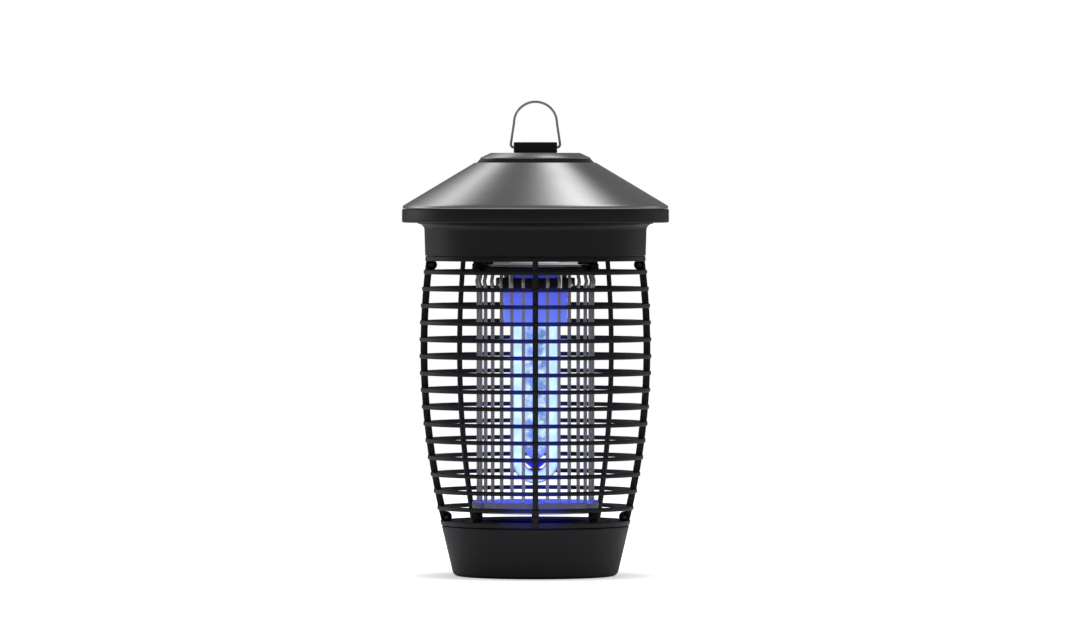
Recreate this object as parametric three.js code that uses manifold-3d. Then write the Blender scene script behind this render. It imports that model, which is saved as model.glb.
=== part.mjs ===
// Electric bug zapper of the hanging lantern type, in millimetres, +Z up.
// The origin is the middle of the face that the tray stands on. The front looks along -Y.

import * as THREE from 'three';
import { mergeVertices } from 'three/addons/utils/BufferGeometryUtils.js';
import Module from 'manifold-3d';

const wasm = await Module();
wasm.setup();

// ---------------------------------------------------------------- driving dimensions

const seatGap = 0.3;             // left between pieces that rest on one another
const runningGap = 0.5;          // round a pin, a rod or a screw in its hole
const overlap = 1;               // joined shapes run this far into one another, cuts this far past a face
const softEdge = 0.8;            // chamfer on the rim and the bracket
const blindWall = 2;             // left beyond the end of a blind screw hole
const screwTipRoom = 0.7;        // between a screw's tip and the end of its hole
const screwHeadSink = 0.2;       // the guard screws' heads stand this far below their bosses' ends

// tray
const trayHeight = 41.5;
const trayStep = 0.5;            // the mouth stands back from the guard's lower edge
const trayTaper = 9.5;           // the foot is this much narrower than the mouth, in radius
const trayWall = 2.4;
const trayCornerRadius = 4.5;

// guard: the louvre rings follow one arc, widest at guardWaistHeight
const louvreCount = 15;
const louvrePitch = 13.87;
const louvreThickness = 3.0;
const louvreDepth = 6.6;
const lowestLouvreRise = 14.4;   // from the guard's lower edge to the lowest louvre's middle
const topLouvreDrop = 13.2;      // from the highest louvre's middle to the guard's upper edge
const guardWaistRadius = 95.6;
const guardWaistRise = 144.8;    // from the guard's lower edge to its widest level
const guardArcRadius = 580;
const guardBandHeight = 4.0;
const ribInset = 0.9;            // ribs stand back from the louvres' outer edge
const ribDepth = 5.4;
const frontRibWidth = 4.6;
const sideRibWidth = 3.0;
const sideRibAngle = 42;         // from the front rib, in degrees
const flangeWidth = 4.0;         // each half's flange along the split
const guardBossRadius = 4.4;
const guardBossInset = 5.9;
const guardBossLength = 8.5;     // each half's boss, from the split
const guardScrewRadius = 1.6;
const guardScrewHeadRadius = 3.0;
const guardScrewHeadHeight = 2.2;
const bottomScrewRise = 6.6;     // from the guard's lower edge
const topScrewDrop = 7.4;        // from its upper edge

// collar and roof
const collarStep = 1.0;          // the collar stands proud of the guard's upper edge
const collarWall = 3.0;
const collarHeight = 27.2;       // from its lower edge to the rim
const collarCove = 5.5;          // radius of the cove under the rim
const collarChamfer = 0.8;
const collarBossRadius = 5;
const collarBossHeight = 14;
const coveStep = 0.6;            // the flat edge above the cove
const rimOverhang = 18.5;        // past the collar
const rimHeight = 11.2;
const rimWall = 3.0;
const rimLipOverlap = 7.0;       // of the rim's lower lip on the collar's top
const roofRise = 37.9;           // the cone, from the rim to the gasket
const roofTopRadius = 49.9;
const roofEdgeInset = 0.6;
const roofHem = 2.0;
const roofSheet = 1.2;
const gasketInset = 5.9;         // back from the cone's top edge
const gasketThickness = 2.6;
const capHeight = 4.8;
const capInset = 4.5;
const capSlope = 8.7;            // the cap's radius shrinks by this much to its top
const capFootHeight = 0.6;

// bail and its bracket
const bracketWidth = 35.9;
const bracketDepth = 22;
const bracketHeight = 8.5;
const bracketCorner = 2.5;
const bracketScrewSpacing = 20;
const bracketScrewRadius = 2.0;
const bracketScrewHeadRadius = 3.8;
const bracketScrewHeadHeight = 2.4;
const bailWireRadius = 1.0;
const bailArchRadius = 17.7;     // to the wire's middle
const bailSideGap = 1.45;        // between each leg and the bracket's end
const bailRise = 37.5;           // from the pivot to the wire's middle at the top
const bailFootLength = 6.0;      // of the turned-in foot
const bailBend = 2.6;
const bailPlay = 0.35;           // round the foot in its hole

// deck and electronics
const deckThickness = 2.6;
const deckScrewCircle = 78;
const deckScrewRadius = 1.6;
const deckScrewHeadRadius = 3.0;
const deckScrewHeadHeight = 1.8;
const boardLength = 96;
const boardWidth = 62;
const boardThickness = 1.6;
const transformerSize = [30, 26, 24];
const transformerPlace = [-26, 4];
const chokeRadius = 9;
const chokeHeight = 13;
const chokePlace = [6, 14];
const capacitorSize = [18, 8, 15];
const capacitorX = 32;
const capacitorSpacing = 14;
const boardLift = 5;
const boardPostRadius = 3;
const boardPostInset = 5;        // from the board's edges

// lamp, its socket and holder
const lampHeadRadius = 26.8;
const lampHeadHeight = 28;
const lampHeadChamfer = 2;
const lampTubeRadius = 5.15;
const lampLegSpacing = 30.7;
const lampTurn = 20.2;           // degrees the outer tube's plane stands round from X
const innerTubeLength = 110;
const tubeStep = 19.5;           // the outer tube reaches this much lower
const lampCapRadius = 13.0;
const lampCapHeight = 22;
const lampCapContact = 5;        // radius of the end contact
const lampCapTaper = 3.5;
const lampCapTip = 1.5;
const spacerPlay = 0.7;          // between the spacer and the tubes round it
const spacerTip = 0.8;
const spacerShoulder = 1.0;
const socketWall = 3.5;
const socketHeight = 29.5;
const holderWall = 2.0;          // in front of and behind the socket
const holderEar = 15.1;          // to each side of it
const holderHeight = 11.5;
const holderCorner = 9;
const clipSheet = 1.2;
const clipFoot = 6;
const clipClearance = 1.2;       // from the clip's ends to the upper insulator
const clipBarHeight = 3.6;
const clipBarDrop = 5.0;         // from the deck to the bar
const clipLegWidth = 2.8;
const clipInnerLeg = 20.4;
const clipLegLength = 28.2;
const clipShortDrop = 4.2;       // below the bar

// high-voltage grid
const rodCount = 30;
const rodRadius = 1.4;
const gridRadius = 47.4;
const insulatorThickness = 5.0;
const lowerInsulatorThickness = 7.5;
const insulatorInnerWidth = 3.2; // from the rods' circle inwards
const insulatorOuterWidth = 4.6; // and outwards
const pocketDepth = 3.0;
const busWidth = 4.0;
const busThickness = 1.6;
const standoffClearance = 0.7;   // between the stand-offs and the buses
const standoffRadius = 4.4;
const standoffAngle = 29;        // from the X axis, in degrees
const standoffHeight = 8.6;
const postHeight = 8.2;
const standoffScrewRadius = 1.5;
const standoffScrewHeadRadius = 3.0;
const standoffScrewHeadHeight = 1.6;

// floor spider, lock ring and cord bush
const spiderThickness = 3.4;
const spiderSpokeWidth = 5;
const spiderRingWidth = 4.5;
const spokeCount = 6;
const lockRingHeight = 5;
const lockRingWall = 2.4;
const lockRingClearance = 1.6;   // outside the lock ring, to the spider's edge
const skirtDrop = 8.5;           // below the spider
const skirtWall = 2.4;
const skirtLip = 1.4;
const cordBushRadius = 6.5;
const cordBushFlange = 1.8;
const cordBushFlangeDepth = 2;
const cordBushTail = 3;          // inside the collar
const cordBore = 3.6;

// facets
const roundSteps = 32;           // round the big turned pieces
const lampSteps = 28;            // round the lamp's head, socket and holder
const louvreSteps = 24;
const tubeStepsAlong = 30;
const tubeSides = 10;
const bossSteps = 16;
const smallSteps = 8;
const rodSides = 6;

// ---------------------------------------------------------------- levels worked out from them

const guardBottom = trayHeight + runningGap;
const lowestLouvre = guardBottom + lowestLouvreRise;
const highestLouvre = lowestLouvre + (louvreCount - 1) * louvrePitch;
const guardTop = highestLouvre + topLouvreDrop;
const guardWaist = guardBottom + guardWaistRise;
const collarBottom = guardTop + seatGap;
const deckBottom = collarBottom;
const deckTop = deckBottom + deckThickness;
const rimBottom = collarBottom + collarHeight;
const rimTop = rimBottom + rimHeight;
const coneFoot = rimTop + seatGap;
const coneTop = coneFoot + roofRise;
const gasketBottom = coneTop + seatGap;
const capBottom = gasketBottom + gasketThickness + seatGap;
const capTop = capBottom + capHeight;
const bracketBottom = capTop + seatGap;
const bailPivot = bracketBottom + bracketHeight / 2;

const standoffBottom = deckBottom - seatGap - standoffHeight;
const upperInsulatorTop = standoffBottom - seatGap;
const upperInsulatorBottom = upperInsulatorTop - insulatorThickness;
const spiderTop = guardBottom + spiderThickness;
const postBottom = spiderTop + seatGap;
const postTop = postBottom + postHeight;
const lowerInsulatorBottom = postTop + seatGap;
const lowerInsulatorTop = lowerInsulatorBottom + lowerInsulatorThickness;

const socketTop = deckBottom - seatGap;
const socketBottom = socketTop - socketHeight;
const lampHeadTop = socketBottom - seatGap;
const lampHeadBottom = lampHeadTop - lampHeadHeight;
const tubeTop = lampHeadBottom - seatGap;
const innerTubeBottom = tubeTop - innerTubeLength;

// Outer radius of the guard at a height.
function guardRadius(height) {
  return guardWaistRadius - (height - guardWaist) ** 2 / (2 * guardArcRadius);
}

// A turned piece has flat facets, whose middles stand closer to the axis than their corners.
function facetRadius(radius, steps) {
  return radius * Math.cos(Math.PI / steps);
}

const trayMouthRadius = guardRadius(guardBottom) - trayStep;
const trayFootRadius = trayMouthRadius - trayTaper;
const collarRadius = guardRadius(guardTop) + collarStep;
const collarInner = collarRadius - collarWall;
const rimRadius = collarRadius + rimOverhang;
const bandInnerRadius = facetRadius(guardRadius(guardBottom) - louvreDepth, louvreSteps);
const deckRadius = facetRadius(collarInner, roundSteps) - seatGap;
const gasketRadius = roofTopRadius - gasketInset;
const capFootRadius = roofTopRadius - capInset;
const capTopRadius = capFootRadius - capSlope;
const bailFootSpread = bracketWidth / 2 + bailSideGap + bailWireRadius;
const bailFootEnd = bailFootSpread - bailFootLength;
const standoffCircle = gridRadius + busWidth / 2 + standoffRadius + standoffClearance;
const socketBore = lampCapRadius + runningGap;
const socketRadius = socketBore + socketWall;
const holderWidth = 2 * (socketRadius + runningGap + holderEar);
const holderDepth = 2 * (socketRadius + runningGap + holderWall);

// ---------------------------------------------------------------- shape helpers

const degrees = Math.PI / 180;

// Six times the signed volume tells which way the faces look.
function signedVolume(geometry) {
  const p = geometry.getAttribute('position');
  const a = new THREE.Vector3();
  const b = new THREE.Vector3();
  const c = new THREE.Vector3();
  let sum = 0;
  for (let i = 0; i < p.count; i += 3) {
    a.fromBufferAttribute(p, i);
    b.fromBufferAttribute(p, i + 1);
    c.fromBufferAttribute(p, i + 2);
    sum += a.dot(b.cross(c));
  }
  return sum;
}

// Gives back the same surface as loose triangles that look outwards.
function facingOut(geometry) {
  const loose = geometry.index ? geometry.toNonIndexed() : geometry;
  if (signedVolume(loose) < 0) {
    const p = loose.getAttribute('position');
    const swap = new THREE.Vector3();
    const other = new THREE.Vector3();
    for (let i = 0; i < p.count; i += 3) {
      swap.fromBufferAttribute(p, i + 1);
      other.fromBufferAttribute(p, i + 2);
      p.setXYZ(i + 1, other.x, other.y, other.z);
      p.setXYZ(i + 2, swap.x, swap.y, swap.z);
    }
    loose.computeVertexNormals();
  }
  return loose;
}

// Turns a profile of [radius, height] points about Z. The profile closes on itself.
function turned(profile, steps = roundSteps) {
  const points = profile.map(([radius, height]) => new THREE.Vector2(radius, height));
  points.push(points[0].clone());
  const geometry = new THREE.LatheGeometry(points, steps);
  geometry.rotateX(Math.PI / 2);
  return facingOut(geometry);
}

// Turns a profile that starts and ends on the axis.
function turnedSolid(profile, steps = roundSteps) {
  const points = profile.map(([radius, height]) => new THREE.Vector2(radius, height));
  const geometry = new THREE.LatheGeometry(points, steps);
  geometry.rotateX(Math.PI / 2);
  return facingOut(geometry);
}

// Points of an arc in the [radius, height] plane, angles in degrees.
function arc(centreRadius, centreHeight, radius, from, to, steps) {
  const points = [];
  for (let i = 0; i <= steps; i += 1) {
    const angle = (from + (to - from) * (i / steps)) * degrees;
    points.push([centreRadius + radius * Math.cos(angle), centreHeight + radius * Math.sin(angle)]);
  }
  return points;
}

function ring(innerRadius, outerRadius, bottom, top, steps = roundSteps) {
  return turned([
    [innerRadius, bottom], [outerRadius, bottom], [outerRadius, top], [innerRadius, top],
  ], steps);
}

function box(width, depth, height, x, y, bottom) {
  const geometry = new THREE.BoxGeometry(width, depth, height);
  geometry.translate(x, y, bottom + height / 2);
  return geometry;
}

// An upright cylinder.
function post(radius, bottom, top, x = 0, y = 0, steps = smallSteps) {
  const geometry = new THREE.CylinderGeometry(radius, radius, top - bottom, steps);
  geometry.rotateX(Math.PI / 2);
  geometry.translate(x, y, (bottom + top) / 2);
  return geometry;
}

// A cylinder along Y, from one depth to another.
function crossPin(radius, fromY, toY, x, z, steps = smallSteps) {
  const geometry = new THREE.CylinderGeometry(radius, radius, Math.abs(toY - fromY), steps);
  geometry.translate(x, (fromY + toY) / 2, z);
  return geometry;
}

// A round rod along a curve.
function rodAlong(curve, radius, steps, sides) {
  const section = new THREE.Shape();
  for (let i = 0; i < sides; i += 1) {
    const angle = (i / sides) * 2 * Math.PI;
    const x = radius * Math.cos(angle);
    const y = radius * Math.sin(angle);
    if (i === 0) section.moveTo(x, y);
    else section.lineTo(x, y);
  }
  section.closePath();
  return facingOut(new THREE.ExtrudeGeometry(section, { steps, extrudePath: curve, bevelEnabled: false }));
}

function roundedRectangle(width, depth, corner) {
  const x = width / 2;
  const y = depth / 2;
  const shape = new THREE.Shape();
  shape.moveTo(-x + corner, -y);
  shape.lineTo(x - corner, -y);
  shape.absarc(x - corner, -y + corner, corner, -Math.PI / 2, 0, false);
  shape.lineTo(x, y - corner);
  shape.absarc(x - corner, y - corner, corner, 0, Math.PI / 2, false);
  shape.lineTo(-x + corner, y);
  shape.absarc(-x + corner, y - corner, corner, Math.PI / 2, Math.PI, false);
  shape.lineTo(-x, -y + corner);
  shape.absarc(-x + corner, -y + corner, corner, Math.PI, 1.5 * Math.PI, false);
  return shape;
}

// ---------------------------------------------------------------- joining and cutting

function toSolid(geometry) {
  const bare = geometry.clone();
  bare.deleteAttribute('normal');
  bare.deleteAttribute('uv');
  const merged = mergeVertices(bare, 1e-4);
  return new wasm.Manifold(new wasm.Mesh({
    numProp: 3,
    vertProperties: new Float32Array(merged.getAttribute('position').array),
    triVerts: new Uint32Array(merged.index.array),
  }));
}

function toGeometry(solid) {
  const mesh = solid.getMesh();
  const geometry = new THREE.BufferGeometry();
  geometry.setAttribute('position', new THREE.BufferAttribute(new Float32Array(mesh.vertProperties), 3));
  geometry.setIndex(new THREE.BufferAttribute(new Uint32Array(mesh.triVerts), 1));
  const loose = geometry.toNonIndexed();
  loose.computeVertexNormals();
  return loose;
}

// Joins the shapes in the first list and cuts away those in the second.
function joined(shapes, cuts = []) {
  let solid = toSolid(shapes[0]);
  for (const shape of shapes.slice(1)) solid = solid.add(toSolid(shape));
  for (const cut of cuts) solid = solid.subtract(toSolid(cut));
  return solid;
}

// ---------------------------------------------------------------- materials

function finish(color, roughness, metalness) {
  return new THREE.MeshStandardMaterial({ color, roughness, metalness });
}

const blackPlastic = finish(0x17181a, 0.45, 0.0);
const brushedSteel = finish(0xb4b5b6, 0.32, 1.0);
const brightSteel = finish(0xc6c8ca, 0.25, 1.0);
const rubber = finish(0x0d0d0e, 0.7, 0.0);
const insulatorPlastic = finish(0xe6e3f2, 0.4, 0.0);
const lampGlass = finish(0xc9f4ff, 0.1, 0.0);
const lampHeadPlastic = finish(0x6a74ea, 0.35, 0.0);
const bluePlastic = finish(0x0a0fb4, 0.3, 0.0);
const boardResin = finish(0x1f5a34, 0.6, 0.0);
const copperWinding = finish(0x9a5b2a, 0.45, 0.6);
const capacitorFilm = finish(0xa3321f, 0.5, 0.0);

const zapper = new THREE.Group();

function piece(name, geometry, material) {
  const mesh = new THREE.Mesh(geometry, material);
  mesh.name = name;
  zapper.add(mesh);
  return mesh;
}

// ---------------------------------------------------------------- tray and lock ring

function tray() {
  const lean = Math.atan2(trayMouthRadius - trayFootRadius, trayHeight - trayCornerRadius) / degrees;
  const cornerCentre = trayFootRadius - trayCornerRadius;
  return turnedSolid([
    [0, 0],
    ...arc(cornerCentre, trayCornerRadius, trayCornerRadius, -90, -lean, 4),
    [trayMouthRadius, trayHeight],
    [trayMouthRadius - trayWall, trayHeight],
    [trayFootRadius - trayWall, trayCornerRadius + trayWall],
    [cornerCentre - trayWall, trayWall],
    [0, trayWall],
  ]);
}

// Where the four long screws cross the split, as [x, z].
const guardScrewPlaces = [];
for (const height of [guardBottom + bottomScrewRise, guardTop - topScrewDrop]) {
  const x = guardRadius(height) - guardBossInset;
  guardScrewPlaces.push([-x, height], [x, height]);
}

// The spider's skirt goes down inside the tray, and the lock ring turns on the skirt.
const spiderRadius = bandInnerRadius - runningGap;
const skirtOuter = spiderRadius - lockRingWall - lockRingClearance;
const skirtInner = skirtOuter - skirtWall;
const skirtBottom = guardBottom - skirtDrop;
const lockRingBottom = skirtBottom + skirtLip + runningGap;
const lockRingInner = skirtOuter + runningGap;

function lockRing() {
  return ring(lockRingInner, lockRingInner + lockRingWall, lockRingBottom, lockRingBottom + lockRingHeight);
}

function floorSpider() {
  const plate = (inner, outer) => ring(inner, outer, guardBottom, spiderTop);
  const shapes = [
    plate(skirtInner - overlap, spiderRadius),
    plate(standoffCircle - spiderRingWidth, standoffCircle + spiderRingWidth),
    ring(skirtInner, skirtOuter, skirtBottom, guardBottom + overlap),
    ring(skirtInner, skirtOuter + lockRingWall, skirtBottom, skirtBottom + skirtLip),
  ];
  const spokeStart = standoffCircle + spiderRingWidth - overlap;
  const spokeLength = skirtInner + overlap - spokeStart;
  for (let i = 0; i < spokeCount; i += 1) {
    const middle = spokeStart + spokeLength / 2;
    const spoke = box(spokeLength, spiderSpokeWidth, spiderThickness, middle, 0, guardBottom);
    spoke.rotateZ((i / spokeCount) * 2 * Math.PI);
    shapes.push(spoke);
  }
  const notches = guardScrewPlaces.map(([x, z]) => crossPin(
    guardBossRadius + runningGap, -guardBossLength - runningGap, guardBossLength + runningGap, x, z));
  return toGeometry(joined(shapes, notches));
}

// ---------------------------------------------------------------- guard

function louvre(height) {
  const outer = guardRadius(height);
  const bottom = height - louvreThickness / 2;
  return ring(outer - louvreDepth, outer, bottom, bottom + louvreThickness, louvreSteps);
}

// The band that closes the guard at its lower or upper edge.
function guardBand(bottom, top) {
  return turned([
    [guardRadius(bottom) - louvreDepth, bottom],
    [guardRadius(bottom), bottom],
    [guardRadius(top), top],
    [guardRadius(top) - louvreDepth, top],
  ], louvreSteps);
}

// An upright rib that follows the guard's arc, turned to an angle from the front in degrees.
function guardRib(width, angle, inset = ribInset, depth = ribDepth) {
  const levels = 8;
  const outline = new THREE.Shape();
  const heightAt = (i) => guardBottom + ((guardTop - guardBottom) * i) / levels;
  outline.moveTo(guardRadius(heightAt(0)) - inset - depth, heightAt(0));
  for (let i = 0; i <= levels; i += 1) outline.lineTo(guardRadius(heightAt(i)) - inset, heightAt(i));
  for (let i = levels; i >= 1; i -= 1) outline.lineTo(guardRadius(heightAt(i)) - inset - depth, heightAt(i));
  outline.closePath();
  const rib = new THREE.ExtrudeGeometry(outline, { depth: width, bevelEnabled: false });
  rib.translate(0, 0, -width / 2);
  rib.rotateX(Math.PI / 2);
  rib.rotateZ((angle - 90) * degrees);
  return rib;
}

function guardBody() {
  const shapes = [
    guardBand(guardBottom, guardBottom + guardBandHeight),
    guardBand(guardTop - guardBandHeight, guardTop),
  ];
  for (let i = 0; i < louvreCount; i += 1) {
    shapes.push(louvre(lowestLouvre + i * louvrePitch));
  }
  for (const back of [0, 180]) {
    shapes.push(guardRib(frontRibWidth, back));
    for (const side of [-1, 1]) shapes.push(guardRib(sideRibWidth, back + side * sideRibAngle));
  }
  for (const side of [-90, 90]) {
    shapes.push(guardRib(2 * flangeWidth, side, ribInset, louvreDepth - ribInset));
  }
  const bore = [];
  for (const [x, z] of guardScrewPlaces) {
    const front = -guardBossLength - overlap;
    const recess = guardScrewHeadHeight + runningGap - guardBossLength;
    shapes.push(crossPin(guardBossRadius, -guardBossLength, guardBossLength, x, z, bossSteps));
    bore.push(crossPin(guardScrewRadius + runningGap, front, guardBossLength - blindWall, x, z));
    bore.push(crossPin(guardScrewHeadRadius + runningGap, front, recess, x, z));
  }
  return joined(shapes, bore);
}

function guardHalf(body, side) {
  const depth = guardWaistRadius + overlap;
  const y = side * (depth / 2 + seatGap / 2);
  return toGeometry(body.intersect(toSolid(box(2 * depth, depth, guardTop + overlap, 0, y, 0))));
}

function guardScrew(x, z) {
  const headFace = -guardBossLength + guardScrewHeadHeight;
  const tip = guardBossLength - blindWall - screwTipRoom;
  const head = crossPin(guardScrewHeadRadius, screwHeadSink - guardBossLength, headFace, x, z);
  const shank = crossPin(guardScrewRadius, headFace - overlap, tip, x, z);
  return toGeometry(joined([head, shank]));
}

// ---------------------------------------------------------------- high-voltage grid

const standoffPlaces = [];
for (const half of [0, 180]) {
  for (const turn of [-standoffAngle, standoffAngle]) {
    const angle = (half + turn) * degrees;
    standoffPlaces.push([standoffCircle * Math.cos(angle), standoffCircle * Math.sin(angle)]);
  }
}

// Rods are numbered round from the front. Even ones belong to the upper bus, odd ones to the lower.
function rodPlace(index) {
  const angle = (index / rodCount) * 2 * Math.PI - Math.PI / 2;
  return [gridRadius * Math.cos(angle), gridRadius * Math.sin(angle)];
}

function rods(first, bottom, top, radius) {
  const list = [];
  for (let i = first; i < rodCount; i += 2) {
    const [x, y] = rodPlace(i);
    list.push(post(radius, bottom, top, x, y, rodSides));
  }
  return list;
}

function gridSet(first, rodBottom, rodTop, busBottom) {
  const inner = gridRadius - busWidth / 2;
  const bus = ring(inner, inner + busWidth, busBottom, busBottom + busThickness);
  return toGeometry(joined([bus, ...rods(first, rodBottom, rodTop, rodRadius)]));
}

// One insulator: rods of its own bus pass through it, the others end in its pockets.
function insulator(bottom, top, throughFirst, pocketFloor, pocketMouth) {
  const inner = gridRadius - insulatorInnerWidth;
  const outer = gridRadius + insulatorOuterWidth;
  const shapes = [ring(inner, outer, bottom, top)];
  const cuts = [
    ...rods(throughFirst, bottom - overlap, top + overlap, rodRadius + runningGap),
    ...rods(1 - throughFirst, pocketFloor, pocketMouth, rodRadius + runningGap),
  ];
  for (const [x, y] of standoffPlaces) {
    shapes.push(post(standoffRadius, bottom, top, x, y));
    cuts.push(post(standoffScrewRadius + runningGap, bottom - overlap, top + overlap, x, y));
  }
  return toGeometry(joined(shapes, cuts));
}

function standoff(x, y) {
  const top = standoffBottom + standoffHeight;
  const body = post(standoffRadius, standoffBottom, top, x, y);
  const bore = post(standoffScrewRadius + runningGap, standoffBottom - overlap, top - blindWall, x, y);
  return toGeometry(joined([body], [bore]));
}

function standoffScrew(x, y) {
  const headTop = upperInsulatorBottom - seatGap;
  const tip = standoffBottom + standoffHeight - blindWall - screwTipRoom;
  const head = post(standoffScrewHeadRadius, headTop - standoffScrewHeadHeight, headTop, x, y);
  const shank = post(standoffScrewRadius, headTop - overlap, tip, x, y);
  return toGeometry(joined([head, shank]));
}

// ---------------------------------------------------------------- lamp, socket, holder and clips

// A tube bent to a U in an upright plane at the given angle round from X.
function bentTube(bottom, degrees) {
  const turn = THREE.MathUtils.degToRad(degrees);
  const bendRadius = lampLegSpacing / 2;
  const bendHeight = bottom + lampTubeRadius + bendRadius;
  const at = (side, height) => new THREE.Vector3(Math.cos(turn) * side, Math.sin(turn) * side, height);
  const path = new THREE.CurvePath();
  path.add(new THREE.LineCurve3(at(-bendRadius, tubeTop), at(-bendRadius, bendHeight)));
  const turns = 12;
  for (let i = 0; i < turns; i += 1) {
    const from = Math.PI * (1 + i / turns);
    const to = Math.PI * (1 + (i + 1) / turns);
    path.add(new THREE.LineCurve3(
      at(bendRadius * Math.cos(from), bendHeight + bendRadius * Math.sin(from)),
      at(bendRadius * Math.cos(to), bendHeight + bendRadius * Math.sin(to)),
    ));
  }
  path.add(new THREE.LineCurve3(at(bendRadius, bendHeight), at(bendRadius, tubeTop)));
  return path;
}

function lampTube(bottom, degrees) {
  return rodAlong(bentTube(bottom, degrees), lampTubeRadius, tubeStepsAlong, tubeSides);
}

function lampSpacer() {
  const top = innerTubeBottom - spacerPlay;
  const shoulder = top - spacerShoulder;
  const bendHeight = innerTubeBottom - tubeStep + lampTubeRadius + lampLegSpacing / 2;
  const bendInside = lampLegSpacing / 2 - lampTubeRadius;
  const spacerRadius = Math.sqrt(bendInside ** 2 - Math.max(0, bendHeight - shoulder) ** 2) - spacerPlay;
  const spacerHeight = tubeStep - 2 * lampTubeRadius - 2 * spacerPlay;
  return turnedSolid([
    [0, top - spacerHeight],
    [spacerTip, top - spacerHeight],
    [spacerRadius, shoulder],
    [spacerRadius, top],
    [0, top],
  ], lampSteps);
}

function lampHead() {
  return turnedSolid([
    [0, lampHeadBottom],
    [lampHeadRadius - lampHeadChamfer, lampHeadBottom],
    [lampHeadRadius, lampHeadBottom + lampHeadChamfer],
    [lampHeadRadius, lampHeadTop - lampHeadChamfer],
    [lampHeadRadius - lampHeadChamfer, lampHeadTop],
    [0, lampHeadTop],
  ], lampSteps);
}

function lampCap() {
  const bottom = lampHeadTop + seatGap;
  return turnedSolid([
    [0, bottom],
    [lampCapRadius, bottom],
    [lampCapRadius, bottom + lampCapHeight - lampCapTip - lampCapTaper],
    [lampCapContact, bottom + lampCapHeight - lampCapTip],
    [lampCapContact, bottom + lampCapHeight],
    [0, bottom + lampCapHeight],
  ], lampSteps);
}

function lampSocket() {
  return turnedSolid([
    [0, socketTop],
    [socketRadius, socketTop],
    [socketRadius, socketBottom],
    [socketBore, socketBottom],
    [socketBore, socketTop - socketWall],
    [0, socketTop - socketWall],
  ], lampSteps);
}

function lampHolder() {
  const body = new THREE.ExtrudeGeometry(roundedRectangle(holderWidth, holderDepth, holderCorner), {
    depth: holderHeight, bevelEnabled: false, curveSegments: 5,
  });
  body.translate(0, 0, socketBottom);
  const holderTop = socketBottom + holderHeight;
  const bore = post(socketRadius + runningGap, socketBottom - overlap, holderTop + overlap, 0, 0, lampSteps);
  return toGeometry(joined([body], [bore]));
}

// A pressed strap: a bar under the deck, two long legs over the holder and two short outer ones.
function lampClip(side) {
  const y = side * (holderDepth / 2 + seatGap + clipSheet / 2);
  const clearRadius = facetRadius(gridRadius - insulatorInnerWidth, roundSteps);
  const clipHalfWidth = Math.sqrt(clearRadius ** 2 - (Math.abs(y) + clipSheet / 2) ** 2) - clipClearance;
  const clipShortLeg = clipHalfWidth - clipLegWidth / 2;
  const top = deckBottom - seatGap;
  const barTop = top - clipBarDrop;
  const barBottom = barTop - clipBarHeight;
  const shapes = [box(2 * clipHalfWidth, clipSheet, clipBarHeight, 0, y, barBottom)];
  const footY = y - side * (clipFoot - clipSheet) / 2;
  const shortBottom = barBottom - clipShortDrop;
  for (const hand of [-1, 1]) {
    const longX = hand * clipInnerLeg;
    shapes.push(box(clipLegWidth, clipSheet, clipLegLength, longX, y, top - clipLegLength));
    shapes.push(box(clipLegWidth, clipFoot, clipSheet, longX, footY, top - clipSheet));
    shapes.push(box(clipLegWidth, clipSheet, clipShortDrop + overlap, hand * clipShortLeg, y, shortBottom));
  }
  return toGeometry(joined(shapes));
}

// ---------------------------------------------------------------- deck and electronics

const boardBottom = deckTop + boardLift + seatGap;
const boardTop = boardBottom + boardThickness;
const deckScrewPlaces = [45, 135, 225, 315].map((angle) => [
  deckScrewCircle * Math.cos(angle * degrees), deckScrewCircle * Math.sin(angle * degrees),
]);

function deck() {
  const sheet = [[0, deckBottom], [deckRadius, deckBottom], [deckRadius, deckTop], [0, deckTop]];
  const shapes = [turnedSolid(sheet)];
  const postX = boardLength / 2 - boardPostInset;
  const postY = boardWidth / 2 - boardPostInset;
  for (const x of [-postX, postX]) {
    for (const y of [-postY, postY]) {
      shapes.push(post(boardPostRadius, deckTop - overlap, deckTop + boardLift, x, y));
    }
  }
  const hole = deckScrewRadius + runningGap;
  const cuts = deckScrewPlaces.map(([x, y]) => post(hole, deckBottom - overlap, deckTop + overlap, x, y));
  return toGeometry(joined(shapes, cuts));
}

function deckScrew(x, y) {
  const headTop = deckBottom - seatGap;
  const tip = deckTop + seatGap + collarBossHeight - blindWall - screwTipRoom;
  const head = post(deckScrewHeadRadius, headTop - deckScrewHeadHeight, headTop, x, y);
  const shank = post(deckScrewRadius, headTop - overlap, tip, x, y);
  return toGeometry(joined([head, shank]));
}

// A part that stands on the board: its size, and its place from the board's middle.
function boardPart([width, depth, height], [x, y]) {
  return box(width, depth, height, x, y, boardTop + seatGap);
}

function choke() {
  const bottom = boardTop + seatGap;
  return post(chokeRadius, bottom, bottom + chokeHeight, ...chokePlace, bossSteps);
}

// ---------------------------------------------------------------- collar and roof

// The cord leaves halfway between the deck and the cove.
const coveFoot = rimBottom - seatGap - coveStep - collarCove;
const cordHeight = (deckTop + coveFoot) / 2;

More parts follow.
